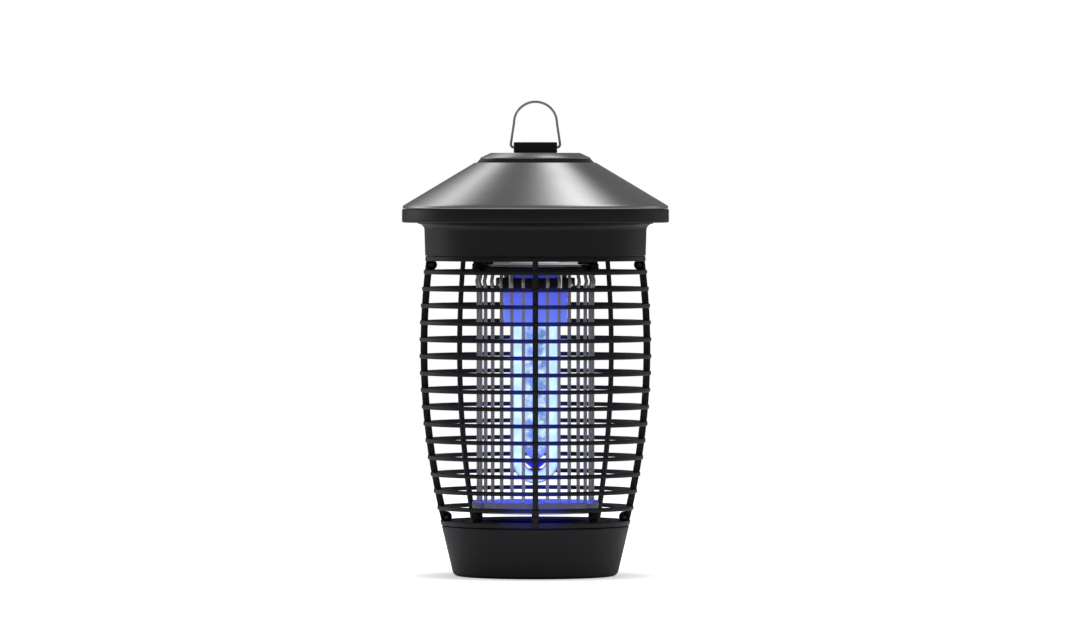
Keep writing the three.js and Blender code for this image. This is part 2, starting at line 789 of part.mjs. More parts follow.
function collar() {
  const top = rimBottom - seatGap;
  const shell = turned([
    [collarInner, collarBottom],
    [collarRadius - collarChamfer, collarBottom],
    [collarRadius, collarBottom + collarChamfer],
    ...arc(collarRadius + collarCove, coveFoot, collarCove, 180, 90, 5),
    [collarRadius + collarCove, top],
    [collarInner, top],
  ]);
  const shapes = [shell];
  const bossBottom = deckTop + seatGap;
  const bossTop = bossBottom + collarBossHeight;
  const webLength = collarInner + overlap - deckScrewCircle;
  const webMiddle = deckScrewCircle + webLength / 2;
  for (const [x, y] of deckScrewPlaces) {
    const web = box(webLength, collarBossRadius, collarBossHeight, webMiddle, 0, bossBottom);
    web.rotateZ(Math.atan2(y, x));
    shapes.push(web, post(collarBossRadius, bossBottom, bossTop, x, y));
  }
  const hole = deckScrewRadius + runningGap;
  const cuts = deckScrewPlaces.map(([x, y]) => post(hole, bossBottom - overlap, bossTop - blindWall, x, y));
  cuts.push(crossPin(cordBushRadius + runningGap, collarInner - 2 * overlap, collarRadius + overlap,
    0, cordHeight, bossSteps));
  return toGeometry(joined(shapes, cuts));
}

function cordBush() {
  const tail = collarInner - cordBushTail;
  const face = collarRadius + seatGap;
  const end = face + cordBushFlangeDepth;
  const bush = crossPin(cordBushRadius, tail, face + overlap, 0, cordHeight, bossSteps);
  const flange = crossPin(cordBushRadius + cordBushFlange, face, end, 0, cordHeight, bossSteps);
  const bore = crossPin(cordBore, tail - overlap, end + overlap, 0, cordHeight);
  return toGeometry(joined([bush, flange], [bore]));
}

function roofRim() {
  const lipInner = collarRadius + collarCove - rimLipOverlap;
  return turned([
    [lipInner, rimBottom],
    [rimRadius - softEdge, rimBottom],
    [rimRadius, rimBottom + softEdge],
    [rimRadius, rimTop - softEdge],
    [rimRadius - softEdge, rimTop],
    [rimRadius - rimWall, rimTop],
    [rimRadius - rimWall, rimBottom + rimWall],
    [lipInner, rimBottom + rimWall],
  ]);
}

const bracketScrewPlaces = [-bracketScrewSpacing / 2, bracketScrewSpacing / 2];

function screwHoles(bottom, top) {
  return bracketScrewPlaces.map((x) => post(bracketScrewRadius + runningGap, bottom, top, x, 0));
}

function roofCone() {
  const edge = rimRadius - roofEdgeInset;
  const shell = turnedSolid([
    [0, coneTop],
    [roofTopRadius, coneTop],
    [edge, coneFoot + roofHem],
    [edge, coneFoot],
    [edge - roofSheet, coneFoot],
    [edge - roofSheet, coneFoot + roofHem - roofSheet / 2],
    [roofTopRadius - roofSheet / 2, coneTop - roofSheet],
    [0, coneTop - roofSheet],
  ]);
  return toGeometry(joined([shell], screwHoles(coneTop - roofSheet - overlap, coneTop + overlap)));
}

function capGasket() {
  const top = gasketBottom + gasketThickness;
  const disc = turnedSolid([[0, gasketBottom], [gasketRadius, gasketBottom], [gasketRadius, top], [0, top]]);
  return toGeometry(joined([disc], screwHoles(gasketBottom - overlap, top + overlap)));
}

function roofCap() {
  const disc = turnedSolid([
    [0, capBottom],
    [capFootRadius, capBottom],
    [capFootRadius, capBottom + capFootHeight],
    [capTopRadius, capTop],
    [0, capTop],
  ]);
  return toGeometry(joined([disc], screwHoles(capBottom - overlap, capTop + overlap)));
}

// ---------------------------------------------------------------- bail and bracket

function bailBracket() {
  const block = new THREE.ExtrudeGeometry(
    roundedRectangle(bracketWidth - 2 * softEdge, bracketDepth - 2 * softEdge, bracketCorner - softEdge),
    {
      depth: bracketHeight - softEdge,
      bevelSize: softEdge, bevelThickness: softEdge, bevelSegments: 1, curveSegments: 3,
    },
  );
  block.translate(0, 0, bracketBottom);
  const underDepth = 2 * softEdge;
  const under = box(bracketWidth + overlap, bracketDepth + overlap, underDepth,
    0, 0, bracketBottom - underDepth);
  const holeTop = bracketBottom + bracketHeight - blindWall;
  const cuts = [under, ...screwHoles(bracketBottom - overlap, holeTop)];
  for (const side of [-1, 1]) {
    const pocketRadius = bailWireRadius + bailPlay;
    const pocket = new THREE.CylinderGeometry(pocketRadius, pocketRadius, bailFootLength, smallSteps);
    pocket.rotateZ(Math.PI / 2);
    pocket.translate(side * (bailFootEnd - runningGap + bailFootLength / 2), 0, bailPivot);
    cuts.push(pocket);
  }
  return toGeometry(joined([block], cuts));
}

function bracketScrew(x) {
  const headTop = coneTop - roofSheet - seatGap;
  const tip = bracketBottom + bracketHeight - blindWall - screwTipRoom;
  const head = post(bracketScrewHeadRadius, headTop - bracketScrewHeadHeight, headTop, x, 0);
  const shank = post(bracketScrewRadius, headTop - overlap, tip, x, 0);
  return toGeometry(joined([head, shank]));
}

// The wire's middle line in the XZ plane: a turned-in foot, a leaning leg, half a circle, and back.
function bailCurve() {
  const archCentre = bailPivot + bailRise - bailArchRadius;
  const halfTurnIn = 1 - Math.SQRT1_2;    // share of a bend's radius from its corner in to its middle
  const half = [
    [bailFootEnd, bailPivot],
    [bailFootSpread - bailBend, bailPivot],
    [bailFootSpread - bailBend * halfTurnIn, bailPivot + bailBend * halfTurnIn],
    [bailFootSpread, bailPivot + bailBend],
  ];
  const legSteps = 4;
  for (let i = 1; i <= legSteps; i += 1) {
    const t = i / (legSteps + 1);
    half.push([
      bailFootSpread + (bailArchRadius - bailFootSpread) * t,
      bailPivot + bailBend + (archCentre - bailPivot - bailBend) * t,
    ]);
  }
  const archSteps = 9;
  for (let i = 0; i < archSteps; i += 1) {
    const angle = (Math.PI / 2) * (i / archSteps);
    half.push([bailArchRadius * Math.cos(angle), archCentre + bailArchRadius * Math.sin(angle)]);
  }
  const points = half.map(([x, z]) => new THREE.Vector3(-x, 0, z));
  points.push(new THREE.Vector3(0, 0, archCentre + bailArchRadius));
  for (const [x, z] of half.slice().reverse()) points.push(new THREE.Vector3(x, 0, z));
  return new THREE.CatmullRomCurve3(points, false, 'centripetal');
}

function hangingBail() {
  return rodAlong(bailCurve(), bailWireRadius, 44, 8);
}

// ---------------------------------------------------------------- the assembly

piece('tray', tray(), blackPlastic);
piece('lock_ring', lockRing(), blackPlastic);
piece('floor_spider', floorSpider(), blackPlastic);

const guard = guardBody();
piece('guard_front', guardHalf(guard, -1), blackPlastic);
piece('guard_rear', guardHalf(guard, 1), blackPlastic);
guardScrewPlaces.forEach(([x, z], i) => piece(`guard_screw_${i + 1}`, guardScrew(x, z), brightSteel));

piece('grid_rods_upper', gridSet(0, lowerInsulatorTop - pocketDepth + runningGap,
  upperInsulatorTop + seatGap + busThickness, upperInsulatorTop + seatGap), brightSteel);
piece('grid_rods_lower', gridSet(1, lowerInsulatorBottom - seatGap - busThickness,
  upperInsulatorBottom + pocketDepth - runningGap, lowerInsulatorBottom - seatGap - busThickness), brightSteel);
piece('upper_insulator', insulator(upperInsulatorBottom, upperInsulatorTop, 0,
  upperInsulatorBottom - overlap, upperInsulatorBottom + pocketDepth), blackPlastic);
piece('lower_insulator', insulator(lowerInsulatorBottom, lowerInsulatorTop, 1,
  lowerInsulatorTop - pocketDepth, lowerInsulatorTop + overlap), insulatorPlastic);
standoffPlaces.forEach(([x, y], i) => {
  piece(`grid_standoff_${i + 1}`, standoff(x, y), blackPlastic);
  piece(`standoff_screw_${i + 1}`, standoffScrew(x, y), brightSteel);
  piece(`grid_post_${i + 1}`, post(standoffRadius, postBottom, postTop, x, y), blackPlastic);
});

piece('lamp_cap', lampCap(), brightSteel);
piece('lamp_head', lampHead(), lampHeadPlastic);
piece('lamp_tube_outer', lampTube(innerTubeBottom - tubeStep, lampTurn), lampGlass);
piece('lamp_tube_inner', lampTube(innerTubeBottom, lampTurn + 90), lampGlass);
piece('lamp_spacer', lampSpacer(), bluePlastic);
piece('lamp_socket', lampSocket(), blackPlastic);
piece('lamp_holder', lampHolder(), blackPlastic);
piece('lamp_clip_front', lampClip(-1), brightSteel);
piece('lamp_clip_rear', lampClip(1), brightSteel);

piece('deck', deck(), blackPlastic);
deckScrewPlaces.forEach(([x, y], i) => piece(`deck_screw_${i + 1}`, deckScrew(x, y), brightSteel));
piece('circuit_board', box(boardLength, boardWidth, boardThickness, 0, 0, boardBottom), boardResin);
piece('transformer', boardPart(transformerSize, transformerPlace), copperWinding);
piece('choke', choke(), copperWinding);
[-capacitorSpacing, 0, capacitorSpacing].forEach((y, i) => {
  piece(`capacitor_${i + 1}`, boardPart(capacitorSize, [capacitorX, y]), capacitorFilm);
});

piece('collar', collar(), blackPlastic);
piece('cord_bush', cordBush(), rubber);
piece('roof_rim', roofRim(), blackPlastic);
piece('roof_cone', roofCone(), brushedSteel);
piece('cap_gasket', capGasket(), rubber);
piece('roof_cap', roofCap(), brushedSteel);
piece('bail_bracket', bailBracket(), blackPlastic);
bracketScrewPlaces.forEach((x, i) => piece(`bracket_screw_${i + 1}`, bracketScrew(x), brightSteel));
piece('hanging_bail', hangingBail(), brightSteel);

export default zapper;
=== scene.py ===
"""Hanging electric bug zapper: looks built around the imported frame. Lengths in the tables are millimetres."""

import math

import bmesh
import bpy
from mathutils import Matrix, Vector


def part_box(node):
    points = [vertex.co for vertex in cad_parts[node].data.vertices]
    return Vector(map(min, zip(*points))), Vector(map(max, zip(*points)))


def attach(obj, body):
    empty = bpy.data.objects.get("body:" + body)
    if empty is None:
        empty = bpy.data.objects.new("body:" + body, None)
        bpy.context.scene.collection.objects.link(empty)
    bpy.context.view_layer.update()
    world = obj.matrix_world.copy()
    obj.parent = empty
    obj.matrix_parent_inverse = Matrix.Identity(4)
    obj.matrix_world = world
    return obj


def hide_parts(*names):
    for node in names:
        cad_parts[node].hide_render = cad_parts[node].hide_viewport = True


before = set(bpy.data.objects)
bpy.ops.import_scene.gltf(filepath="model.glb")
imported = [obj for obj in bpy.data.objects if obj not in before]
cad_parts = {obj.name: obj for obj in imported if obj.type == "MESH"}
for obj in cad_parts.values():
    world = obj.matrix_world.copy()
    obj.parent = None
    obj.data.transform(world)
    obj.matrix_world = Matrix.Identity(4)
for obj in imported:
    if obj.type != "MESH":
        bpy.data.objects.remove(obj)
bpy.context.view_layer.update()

MM = 0.001
TURN_STEPS = 160  # round a large turned piece
FILLET_STEPS = 4
SHARP_ANGLE = math.radians(38)

# The guard's rule: every louvre and rib follows one arc, widest at the waist.
WAIST_RADIUS, WAIST_HEIGHT, ARC_RADIUS = 95.6, 186.8, 580.0
LOUVRE_COUNT, LOUVRE_PITCH, LOWEST_LOUVRE = 15, 13.87, 56.4
LOUVRE_THICKNESS, LOUVRE_DEPTH = 3.3, 6.6
RIB_INSET, RIB_DEPTH = 0.9, 5.4
HALF_GAP = 0.15
ROD_COUNT, ROD_RADIUS, GRID_RADIUS = 30, 1.4, 47.4


def low(node, axis=2):
    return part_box(node)[0][axis] / MM


def high(node, axis=2):
    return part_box(node)[1][axis] / MM


def span(node):
    """A part's lowest and highest point."""
    return low(node), high(node)


def middle_of(node):
    """Where a part stands, seen from above."""
    lower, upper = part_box(node)
    return (lower[0] + upper[0]) / 2 / MM, (lower[1] + upper[1]) / 2 / MM


def four(node):
    """The names of the four parts of one kind."""
    return [f"{node}_{i}" for i in range(1, 5)]


def guard_radius(height):
    return WAIST_RADIUS - (height - WAIST_HEIGHT) ** 2 / (2 * ARC_RADIUS)


# ---------------------------------------------------------------- node helpers


def put(tree, kind, inputs=None, **settings):
    """Adds a node. An input is a socket to join, or a plain value."""
    node = tree.nodes.new(kind)
    for key, value in settings.items():
        setattr(node, key, value)
    for key, value in (inputs or {}).items():
        if isinstance(value, bpy.types.NodeSocket):
            tree.links.new(value, node.inputs[key])
        else:
            node.inputs[key].default_value = value
    return node


def joined(tree, kind, inputs=None, **settings):
    """Adds a node and gives its first output."""
    return put(tree, kind, inputs, **settings).outputs[0]


def maths(tree, operation, *values, clamp=False):
    return joined(tree, "ShaderNodeMath", dict(enumerate(values)), operation=operation, use_clamp=clamp)


def plus(tree, first, second):
    return maths(tree, "ADD", first, second)


def less(tree, first, second):
    return maths(tree, "SUBTRACT", first, second)


def times(tree, first, second, clamp=False):
    return maths(tree, "MULTIPLY", first, second, clamp=clamp)


def over(tree, first, second):
    return maths(tree, "DIVIDE", first, second)


def uneven(tree, least, spread, mask):
    """A value that a mask lifts from its least."""
    return plus(tree, times(tree, mask, spread), least)


def mixed(tree, factor, first, second):
    """A colour between two others."""
    node = put(tree, "ShaderNodeMix", {0: factor, 6: first, 7: second}, data_type="RGBA")
    return node.outputs[2]


def ranged(tree, value, start, end, to_start=0.0, to_end=1.0):
    node = put(
        tree, "ShaderNodeMapRange",
        {"Value": value, "From Min": start, "From Max": end, "To Min": to_start, "To Max": to_end},
        interpolation_type="SMOOTHSTEP"
    )
    return node.outputs["Result"]


def vector_of(tree, x=0.0, y=0.0, z=0.0):
    return joined(tree, "ShaderNodeCombineXYZ", {0: x, 1: y, 2: z})


def parts_of(tree, vector):
    return put(tree, "ShaderNodeSeparateXYZ", {0: vector}).outputs


def place_on(tree):
    return put(tree, "ShaderNodeTexCoord").outputs["Object"]


def facing_of(tree):
    """Which way a surface faces, as its three parts."""
    return parts_of(tree, put(tree, "ShaderNodeNewGeometry").outputs["Normal"])


def from_axis(tree, x, y):
    """How far a place is from the upright axis."""
    return maths(tree, "SQRT", plus(tree, maths(tree, "POWER", x, 2.0), maths(tree, "POWER", y, 2.0)))


# ---------------------------------------------------------------- shared surface effects


def effect(name, inputs, outputs, build):
    """A shader group with named inputs and outputs."""
    tree = bpy.data.node_groups.new(name, "ShaderNodeTree")
    kind = "NodeSocketFloat"
    for label, value in inputs.items():
        socket = tree.interface.new_socket(label, in_out="INPUT", socket_type=kind)
        socket.default_value = value
    for label in outputs:
        tree.interface.new_socket(label, in_out="OUTPUT", socket_type=kind)
    given, result = tree.nodes.new("NodeGroupInput"), tree.nodes.new("NodeGroupOutput")
    for label, socket in build(tree, given.outputs).items():
        tree.links.new(socket, result.inputs[label])
    return tree


def noise(tree, vector, scale, detail=3.0, roughness=0.55):
    inputs = {"Vector": vector, "Scale": scale, "Detail": detail, "Roughness": roughness}
    return joined(tree, "ShaderNodeTexNoise", inputs)


def build_grain(tree, given):
    """Fine spark grain of a moulding, with the slow shine changes that handling leaves."""
    place = place_on(tree)
    fine = noise(tree, place, given["Fineness"], 2.0)
    cells = put(
        tree, "ShaderNodeTexVoronoi", {"Vector": place, "Scale": given["Fineness"]}
    ).outputs["Distance"]
    height = plus(tree, times(tree, fine, 0.6), times(tree, cells, 0.4))
    slow = ranged(tree, noise(tree, place, 22.0, 4.0), 0.35, 0.7)
    return {"Height": height, "Shine": slow, "Speck": ranged(tree, fine, 0.3, 0.75)}


def build_wear(tree, given):
    """Edges rubbed by hands and by the packing."""
    place = place_on(tree)
    point = put(tree, "ShaderNodeNewGeometry").outputs["Pointiness"]
    edge = ranged(tree, point, given["From"], given["To"])
    broken = ranged(tree, noise(tree, place, 190.0, 5.0, 0.7), 0.38, 0.62)
    mask = times(tree, edge, times(tree, broken, given["Amount"]), clamp=True)
    return {"Mask": mask}


def build_dust(tree, given):
    """Dust that settles on what faces up."""
    place = place_on(tree)
    up = facing_of(tree)[2]
    lying = ranged(tree, up, 0.25, 0.95)
    patches = ranged(tree, noise(tree, place, 75.0, 6.0, 0.65), 0.35, 0.8)
    return {"Mask": times(tree, times(tree, lying, patches), given["Amount"], clamp=True)}


def build_brushing(tree, given):
    """Brush lines that run round the upright axis, and broad bands round it that are painted reflection fans.
    """
    place = place_on(tree)
    x, y, z = parts_of(tree, place)
    far = from_axis(tree, x, y)
    safe = maths(tree, "MAXIMUM", far, 0.0005)
    round_x = times(tree, over(tree, x, safe), given["Run"])
    round_y = times(tree, over(tree, y, safe), given["Run"])
    across = times(tree, less(tree, far, z), given["Fineness"])
    lines = noise(tree, vector_of(tree, round_x, round_y, across), 1.0, 3.0, 0.6)
    broad = times(tree, across, 0.07)
    painted_reflection_bands = noise(tree, vector_of(tree, round_x, round_y, broad), 1.0, 2.0)
    smudge = ranged(tree, noise(tree, place, 34.0, 4.0), 0.45, 0.75)
    return {"Height": lines, "Tone": ranged(tree, lines, 0.25, 0.75), "Bands": painted_reflection_bands, "Smudge": smudge}


def build_lamp_light(tree, given):
    """Painted lamp light: a mask for blue emission where the lamp's light falls near it, strongest beside the
    tubes, on what faces them.
    """
    place = place_on(tree)
    x, y, z = parts_of(tree, place)
    normal = facing_of(tree)
    far = from_axis(tree, x, y)
    safe = maths(tree, "MAXIMUM", far, 0.001)
    inward = over(
        tree, plus(tree, times(tree, x, normal[0]), times(tree, y, normal[1])), times(tree, safe, -1.0)
    )
    facing = ranged(tree, inward, given["From Facing"], 1.0)
    height = times(tree, ranged(tree, z, given["Foot"], given["Full"]), ranged(tree, z, 0.250, 0.222))
    side = maths(tree, "ABSOLUTE", x)
    beside = times(tree, ranged(tree, side, given["Reach"], 0.012), ranged(tree, side, 0.0022, 0.0035))
    return {"Mask": times(tree, times(tree, facing, height), beside)}


GRAIN = effect("moulded grain", {"Fineness": 1800.0}, ["Height", "Shine", "Speck"], build_grain)
WEAR = effect("edge wear", {"From": 0.53, "To": 0.62, "Amount": 0.6}, ["Mask"], build_wear)
DUST = effect("settled dust", {"Amount": 0.2}, ["Mask"], build_dust)
BRUSHING = effect(
    "brushing", {"Run": 3.0, "Fineness": 5200.0}, ["Height", "Tone", "Bands", "Smudge"], build_brushing
)
PAINTED_LAMP_LIGHT = effect(
    "lamp light", {"From Facing": -4.0, "Foot": 0.03, "Full": 0.06, "Reach": 0.032}, ["Mask"],
    build_lamp_light
)


def use(tree, group, **inputs):
    node = tree.nodes.new("ShaderNodeGroup")
    node.node_tree = group
    for label, value in inputs.items():
        node.inputs[label.replace("_", " ")].default_value = value
    return node.outputs


def bare_material(name, **plain):
    """A material with its Principled shader set to plain values, named as its sockets with _ for a space."""
    material = bpy.data.materials.new(name)
    material.use_nodes = True
    tree = material.node_tree
    shader = tree.nodes["Principled BSDF"]
    for label, value in plain.items():
        shader.inputs[label.replace("_", " ")].default_value = value
    return material, tree, shader


def feed(tree, shader, **sockets):
    for label, socket in sockets.items():
        tree.links.new(socket, shader.inputs[label.replace("_", " ")])


def bumped(tree, height, strength, distance):
    inputs = {"Height": height, "Strength": strength, "Distance": distance}
    return put(tree, "ShaderNodeBump", inputs).outputs["Normal"]


def grey(level, tint=(1.0, 1.0, 1.0)):
    return (level * tint[0], level * tint[1], level * tint[2], 1.0)


LAMP_BLUE = (0.02, 0.06, 1.0, 1.0)


def caught(tree, shader, strength, reach=0.032, tint=LAMP_BLUE):
    """Paints the lamp's light that a surface near it catches, as blue emission."""
    light = use(tree, PAINTED_LAMP_LIGHT, Reach=reach)["Mask"]
    feed(tree, shader, Emission_Color=mixed(tree, light, grey(0.0), tint))
    shader.inputs["Emission Strength"].default_value = strength


def moulded(name, level, shine, dust=0.2, wear=0.5, fineness=1800.0, depth=0.00004, glow=0.0):
    """Black moulded plastic: level of its grey, roughness where shiny, and how much painted lamp light it shows
    as blue emission.
    """
    material, tree, shader = bare_material(name, Specular_IOR_Level=0.5)
    grain = use(tree, GRAIN, Fineness=fineness)
    worn = use(tree, WEAR, Amount=wear)["Mask"]
    dusty = use(tree, DUST, Amount=dust)["Mask"]
    cool = (0.96, 0.98, 1.04)
    colour = mixed(tree, grain["Speck"], grey(level * 0.8, cool), grey(level * 1.25, cool))
    colour = mixed(tree, worn, colour, grey(level * 7 + 0.02))
    colour = mixed(tree, dusty, colour, grey(0.16, (1.0, 0.97, 0.92)))
    rough = uneven(tree, shine, 0.12, grain["Shine"])
    rough = plus(tree, rough, times(tree, dusty, 0.3))
    feed(
        tree, shader, Base_Color=colour, Roughness=rough, Normal=bumped(tree, grain["Height"], 0.35, depth)
    )
    if glow:
        caught(tree, shader, glow)
    return material


def steel(name, level, shine, run=3.0, fineness=5200.0, streak=0.10, spread=0.10, depth=0.00002, glow=0.0):
    """Steel with brush or draw lines round the upright axis, smudged where it is handled, with darker bands
    painted as its reflection fans.
    """
    material, tree, shader = bare_material(name, Metallic=1.0)
    lines = use(tree, BRUSHING, Run=run, Fineness=fineness)
    tone = mixed(
        tree, lines["Tone"], grey(level * (1 - streak)), grey(level * (1 + streak), (1.0, 0.995, 0.985))
    )
    # Painted reflection: darker sectors round the axis stand for the highlight fans of brushed steel.
    tone = mixed(tree, times(tree, lines["Bands"], 0.3), tone, grey(level * 0.82))
    rough = uneven(tree, shine, spread, lines["Tone"])
    rough = plus(tree, rough, times(tree, lines["Smudge"], 0.05))
    feed(tree, shader, Base_Color=tone, Roughness=rough, Normal=bumped(tree, lines["Height"], 0.25, depth))
    # Painted lamp light: pale blue emission where the lamp's light falls on the steel.
    if glow:
        caught(tree, shader, glow, 0.03, (0.42, 0.45, 1.0, 1.0))
    return material


def tinted(name, colour, dark, shine, fineness=900.0, depth=0.00003, glow=0.0, **plain):
    """A coloured plastic, resin or ceramic with a faint mottle, and painted lamp light as blue emission when it
    has a glow.
    """
    material, tree, shader = bare_material(name, **plain)
    grain = use(tree, GRAIN, Fineness=fineness)
    tone = mixed(tree, times(tree, grain["Shine"], 0.8), (*colour, 1.0), (*dark, 1.0))
    tone = mixed(tree, use(tree, DUST, Amount=0.15)["Mask"], tone, grey(0.2))
    rough = uneven(tree, shine, 0.15, grain["Speck"])
    feed(tree, shader, Base_Color=tone, Roughness=rough, Normal=bumped(tree, grain["Height"], 0.3, depth))
    if glow:
        caught(tree, shader, glow, 0.05)
    return material


def strap_steel():
    """Bright strap steel with the lamp's light painted on as emission, strongest on its right half and none at
    its top.
    """
    material, tree, shader = bare_material("bright_strap_steel", Metallic=1.0)
    lines = use(tree, BRUSHING, Run=1.0, Fineness=2600.0)
    tone = mixed(tree, lines["Tone"], grey(0.66), grey(0.76))
    rough = uneven(tree, 0.18, 0.06, lines["Tone"])
    x, _, z = parts_of(tree, place_on(tree))
    # Painted highlight: emission that rises from left to right and stops above 258.5 mm.
    shine = mixed(tree, ranged(tree, x, -0.03, 0.04), grey(0.10), grey(0.42, (0.95, 0.97, 1.0)))
    shine = mixed(tree, ranged(tree, z, 0.2585, 0.2600), shine, grey(0.0))
    feed(tree, shader, Base_Color=tone, Roughness=rough, Emission_Color=shine)
    feed(tree, shader, Normal=bumped(tree, lines["Height"], 0.2, 0.00001))
    shader.inputs["Emission Strength"].default_value = 1.0
    return material


def only_seen(tree, colour, other):
    """One colour where the lamp is looked at, another in what mirrors it."""
    seen = put(tree, "ShaderNodeLightPath").outputs["Is Camera Ray"]
    return mixed(tree, seen, other, colour)


def lit_glass(name, dim):
    """A fluorescent tube: clear glass over a glowing coat that is uneven along its length."""
    material, tree, shader = bare_material(
        name, Alpha=0.9, Coat_Weight=0.2, Coat_Roughness=0.05, Emission_Strength=1.0
    )
    place = place_on(tree)
    mottle = ranged(tree, noise(tree, place, 120.0, 3.0), 0.35, 0.7)
    facing = put(tree, "ShaderNodeLayerWeight", {"Blend": 0.5}).outputs["Facing"]
    core = mixed(tree, mottle, (*dim, 1.0), (0.76, 0.98, 1.1, 1.0))
    glow = mixed(tree, ranged(tree, facing, 0.05, 0.75), core, (0.07, 0.11, 0.42, 1.0))
    base = mixed(tree, mottle, (0.08, 0.10, 0.16, 1.0), (0.12, 0.14, 0.18, 1.0))
    rough = uneven(tree, 0.09, 0.06, mottle)
    normal = bumped(tree, noise(tree, place, 300.0, 2.0), 0.1, 0.00002)
    feed(tree, shader, Base_Color=base, Emission_Color=only_seen(tree, glow, grey(0.30, (1.0, 1.0, 1.15))))
    feed(tree, shader, Roughness=rough, Normal=normal)
    return material


def lit_head():
    """Translucent violet-blue plastic with the light of the tubes below painted on as emission, brighter at its
    foot.
    """
    material, tree, shader = bare_material(
        "lit_lamp_head", Roughness=0.35, Emission_Strength=1.0, Alpha=0.93
    )
    grain = use(tree, GRAIN, Fineness=700.0)
    z = parts_of(tree, place_on(tree))[2]
    rise = ranged(tree, z, low("lamp_head") * MM, high("lamp_head") * MM)
    # Painted light: brighter emission at the foot, nearest the tubes, darker at the top.
    glow = mixed(tree, rise, (0.12, 0.19, 0.80, 1.0), (0.06, 0.08, 0.64, 1.0))
    glow = mixed(tree, times(tree, grain["Shine"], 0.3), glow, (0.12, 0.15, 0.85, 1.0))
    base = mixed(tree, grain["Shine"], (0.10, 0.12, 0.6, 1.0), (0.15, 0.17, 0.7, 1.0))
    normal = bumped(tree, grain["Height"], 0.2, 0.00003)
    glow = only_seen(tree, glow, grey(0.18, (1.0, 1.0, 1.25)))
    feed(tree, shader, Base_Color=base, Emission_Color=glow, Normal=normal)
    return material


# The spacer's blue glow is painted light of the lamp, as emission over a dark blue base.
def lit_spacer():
    material, tree, shader = bare_material("lit_blue_spacer", Roughness=0.3, Emission_Strength=0.75)
    grain = use(tree, GRAIN, Fineness=900.0)
    glow = mixed(tree, grain["Shine"], (0.0, 0.001, 0.5, 1.0), (0.002, 0.006, 0.62, 1.0))
    feed(
        tree, shader,
        Base_Color=mixed(tree, grain["Speck"], (0.0, 0.004, 0.25, 1.0), (0.004, 0.01, 0.4, 1.0))
    )
    feed(tree, shader, Emission_Color=glow, Normal=bumped(tree, grain["Height"], 0.2, 0.00003))
    return material


def lit_flange():
    """Black plastic right over the lamp, with blue emission painted where the lamp shines on it."""
    material, tree, shader = bare_material("lit_socket_plastic", Roughness=0.35, Emission_Strength=1.0)
    grain = use(tree, GRAIN, Fineness=1500.0)
    x = parts_of(tree, place_on(tree))[0]
    near = ranged(tree, maths(tree, "ABSOLUTE", x), 0.022, 0.014)
    glow = mixed(tree, near, grey(0.0), (0.018, 0.034, 0.36, 1.0))
    feed(
        tree, shader, Base_Color=mixed(tree, grain["Speck"], grey(0.008), grey(0.014)), Emission_Color=glow
    )
    feed(tree, shader, Normal=bumped(tree, grain["Height"], 0.3, 0.00004))
    return material


# A glow is painted lamp light: blue emission on the guard, the inner plastic, the rods and the white insulator.
SATIN_BLACK = moulded("satin_black_plastic", 0.0075, 0.36, dust=0.10, wear=0.35)
GUARD_BLACK = moulded("guard_black_plastic", 0.006, 0.34, dust=0.12, wear=0.4, glow=0.16)
INNER_BLACK = moulded("inner_black_plastic", 0.009, 0.45, dust=0.15, wear=0.2, glow=0.05)
GLOSS_BLACK = moulded("gloss_black_plastic", 0.006, 0.16, dust=0.06, wear=0.3, depth=0.00001)
BLACK_RUBBER = moulded("black_rubber", 0.008, 0.55, dust=0.25, wear=0.1, fineness=1100.0, depth=0.00006)
ROOF_STEEL = steel("brushed_roof_steel", 0.66, 0.09, spread=0.05)
# Painted shade: a dark copy of the roof steel for the neck under the cap.
SHADED_NECK_STEEL = steel("shaded_neck_steel", 0.10, 0.12, spread=0.05)
STRAP_STEEL = strap_steel()
BRIGHT_STEEL = steel("bright_steel", 0.72, 0.16, run=1.0, fineness=2600.0, streak=0.06, spread=0.06)
ROD_STEEL = steel(
    "drawn_rod_steel", 0.66, 0.26, run=1.0, fineness=900.0, streak=0.05, spread=0.05, depth=0.000005,
    glow=0.16
)
DARK_SCREW = steel("blackened_screw_steel", 0.10, 0.30, run=1.0, fineness=2600.0)
CERAMIC = tinted("insulator_white", (0.80, 0.79, 0.86), (0.66, 0.64, 0.74), 0.32, glow=0.10)
BOARD = tinted("board_resin", (0.02, 0.10, 0.035), (0.015, 0.07, 0.03), 0.5)
COPPER = tinted(
    "copper_winding", (0.42, 0.15, 0.05), (0.30, 0.10, 0.03), 0.35, fineness=2600.0, Metallic=0.6
)
FILM = tinted("capacitor_film", (0.42, 0.05, 0.02), (0.33, 0.035, 0.015), 0.4)
LIT_BLACK = lit_flange()
LAMP_GLASS = lit_glass("lit_lamp_glass", (0.5, 0.8, 1.1))
# Painted shade: the inner tube takes a darker copy of the lamp glass.
SHADED_INNER_GLASS = lit_glass("lit_inner_lamp_glass", (0.10, 0.23, 0.56))
LAMP_HEAD = lit_head()
BLUE_SPACER_PAINTED_GLOW = lit_spacer()

# ---------------------------------------------------------------- shapes in mesh code


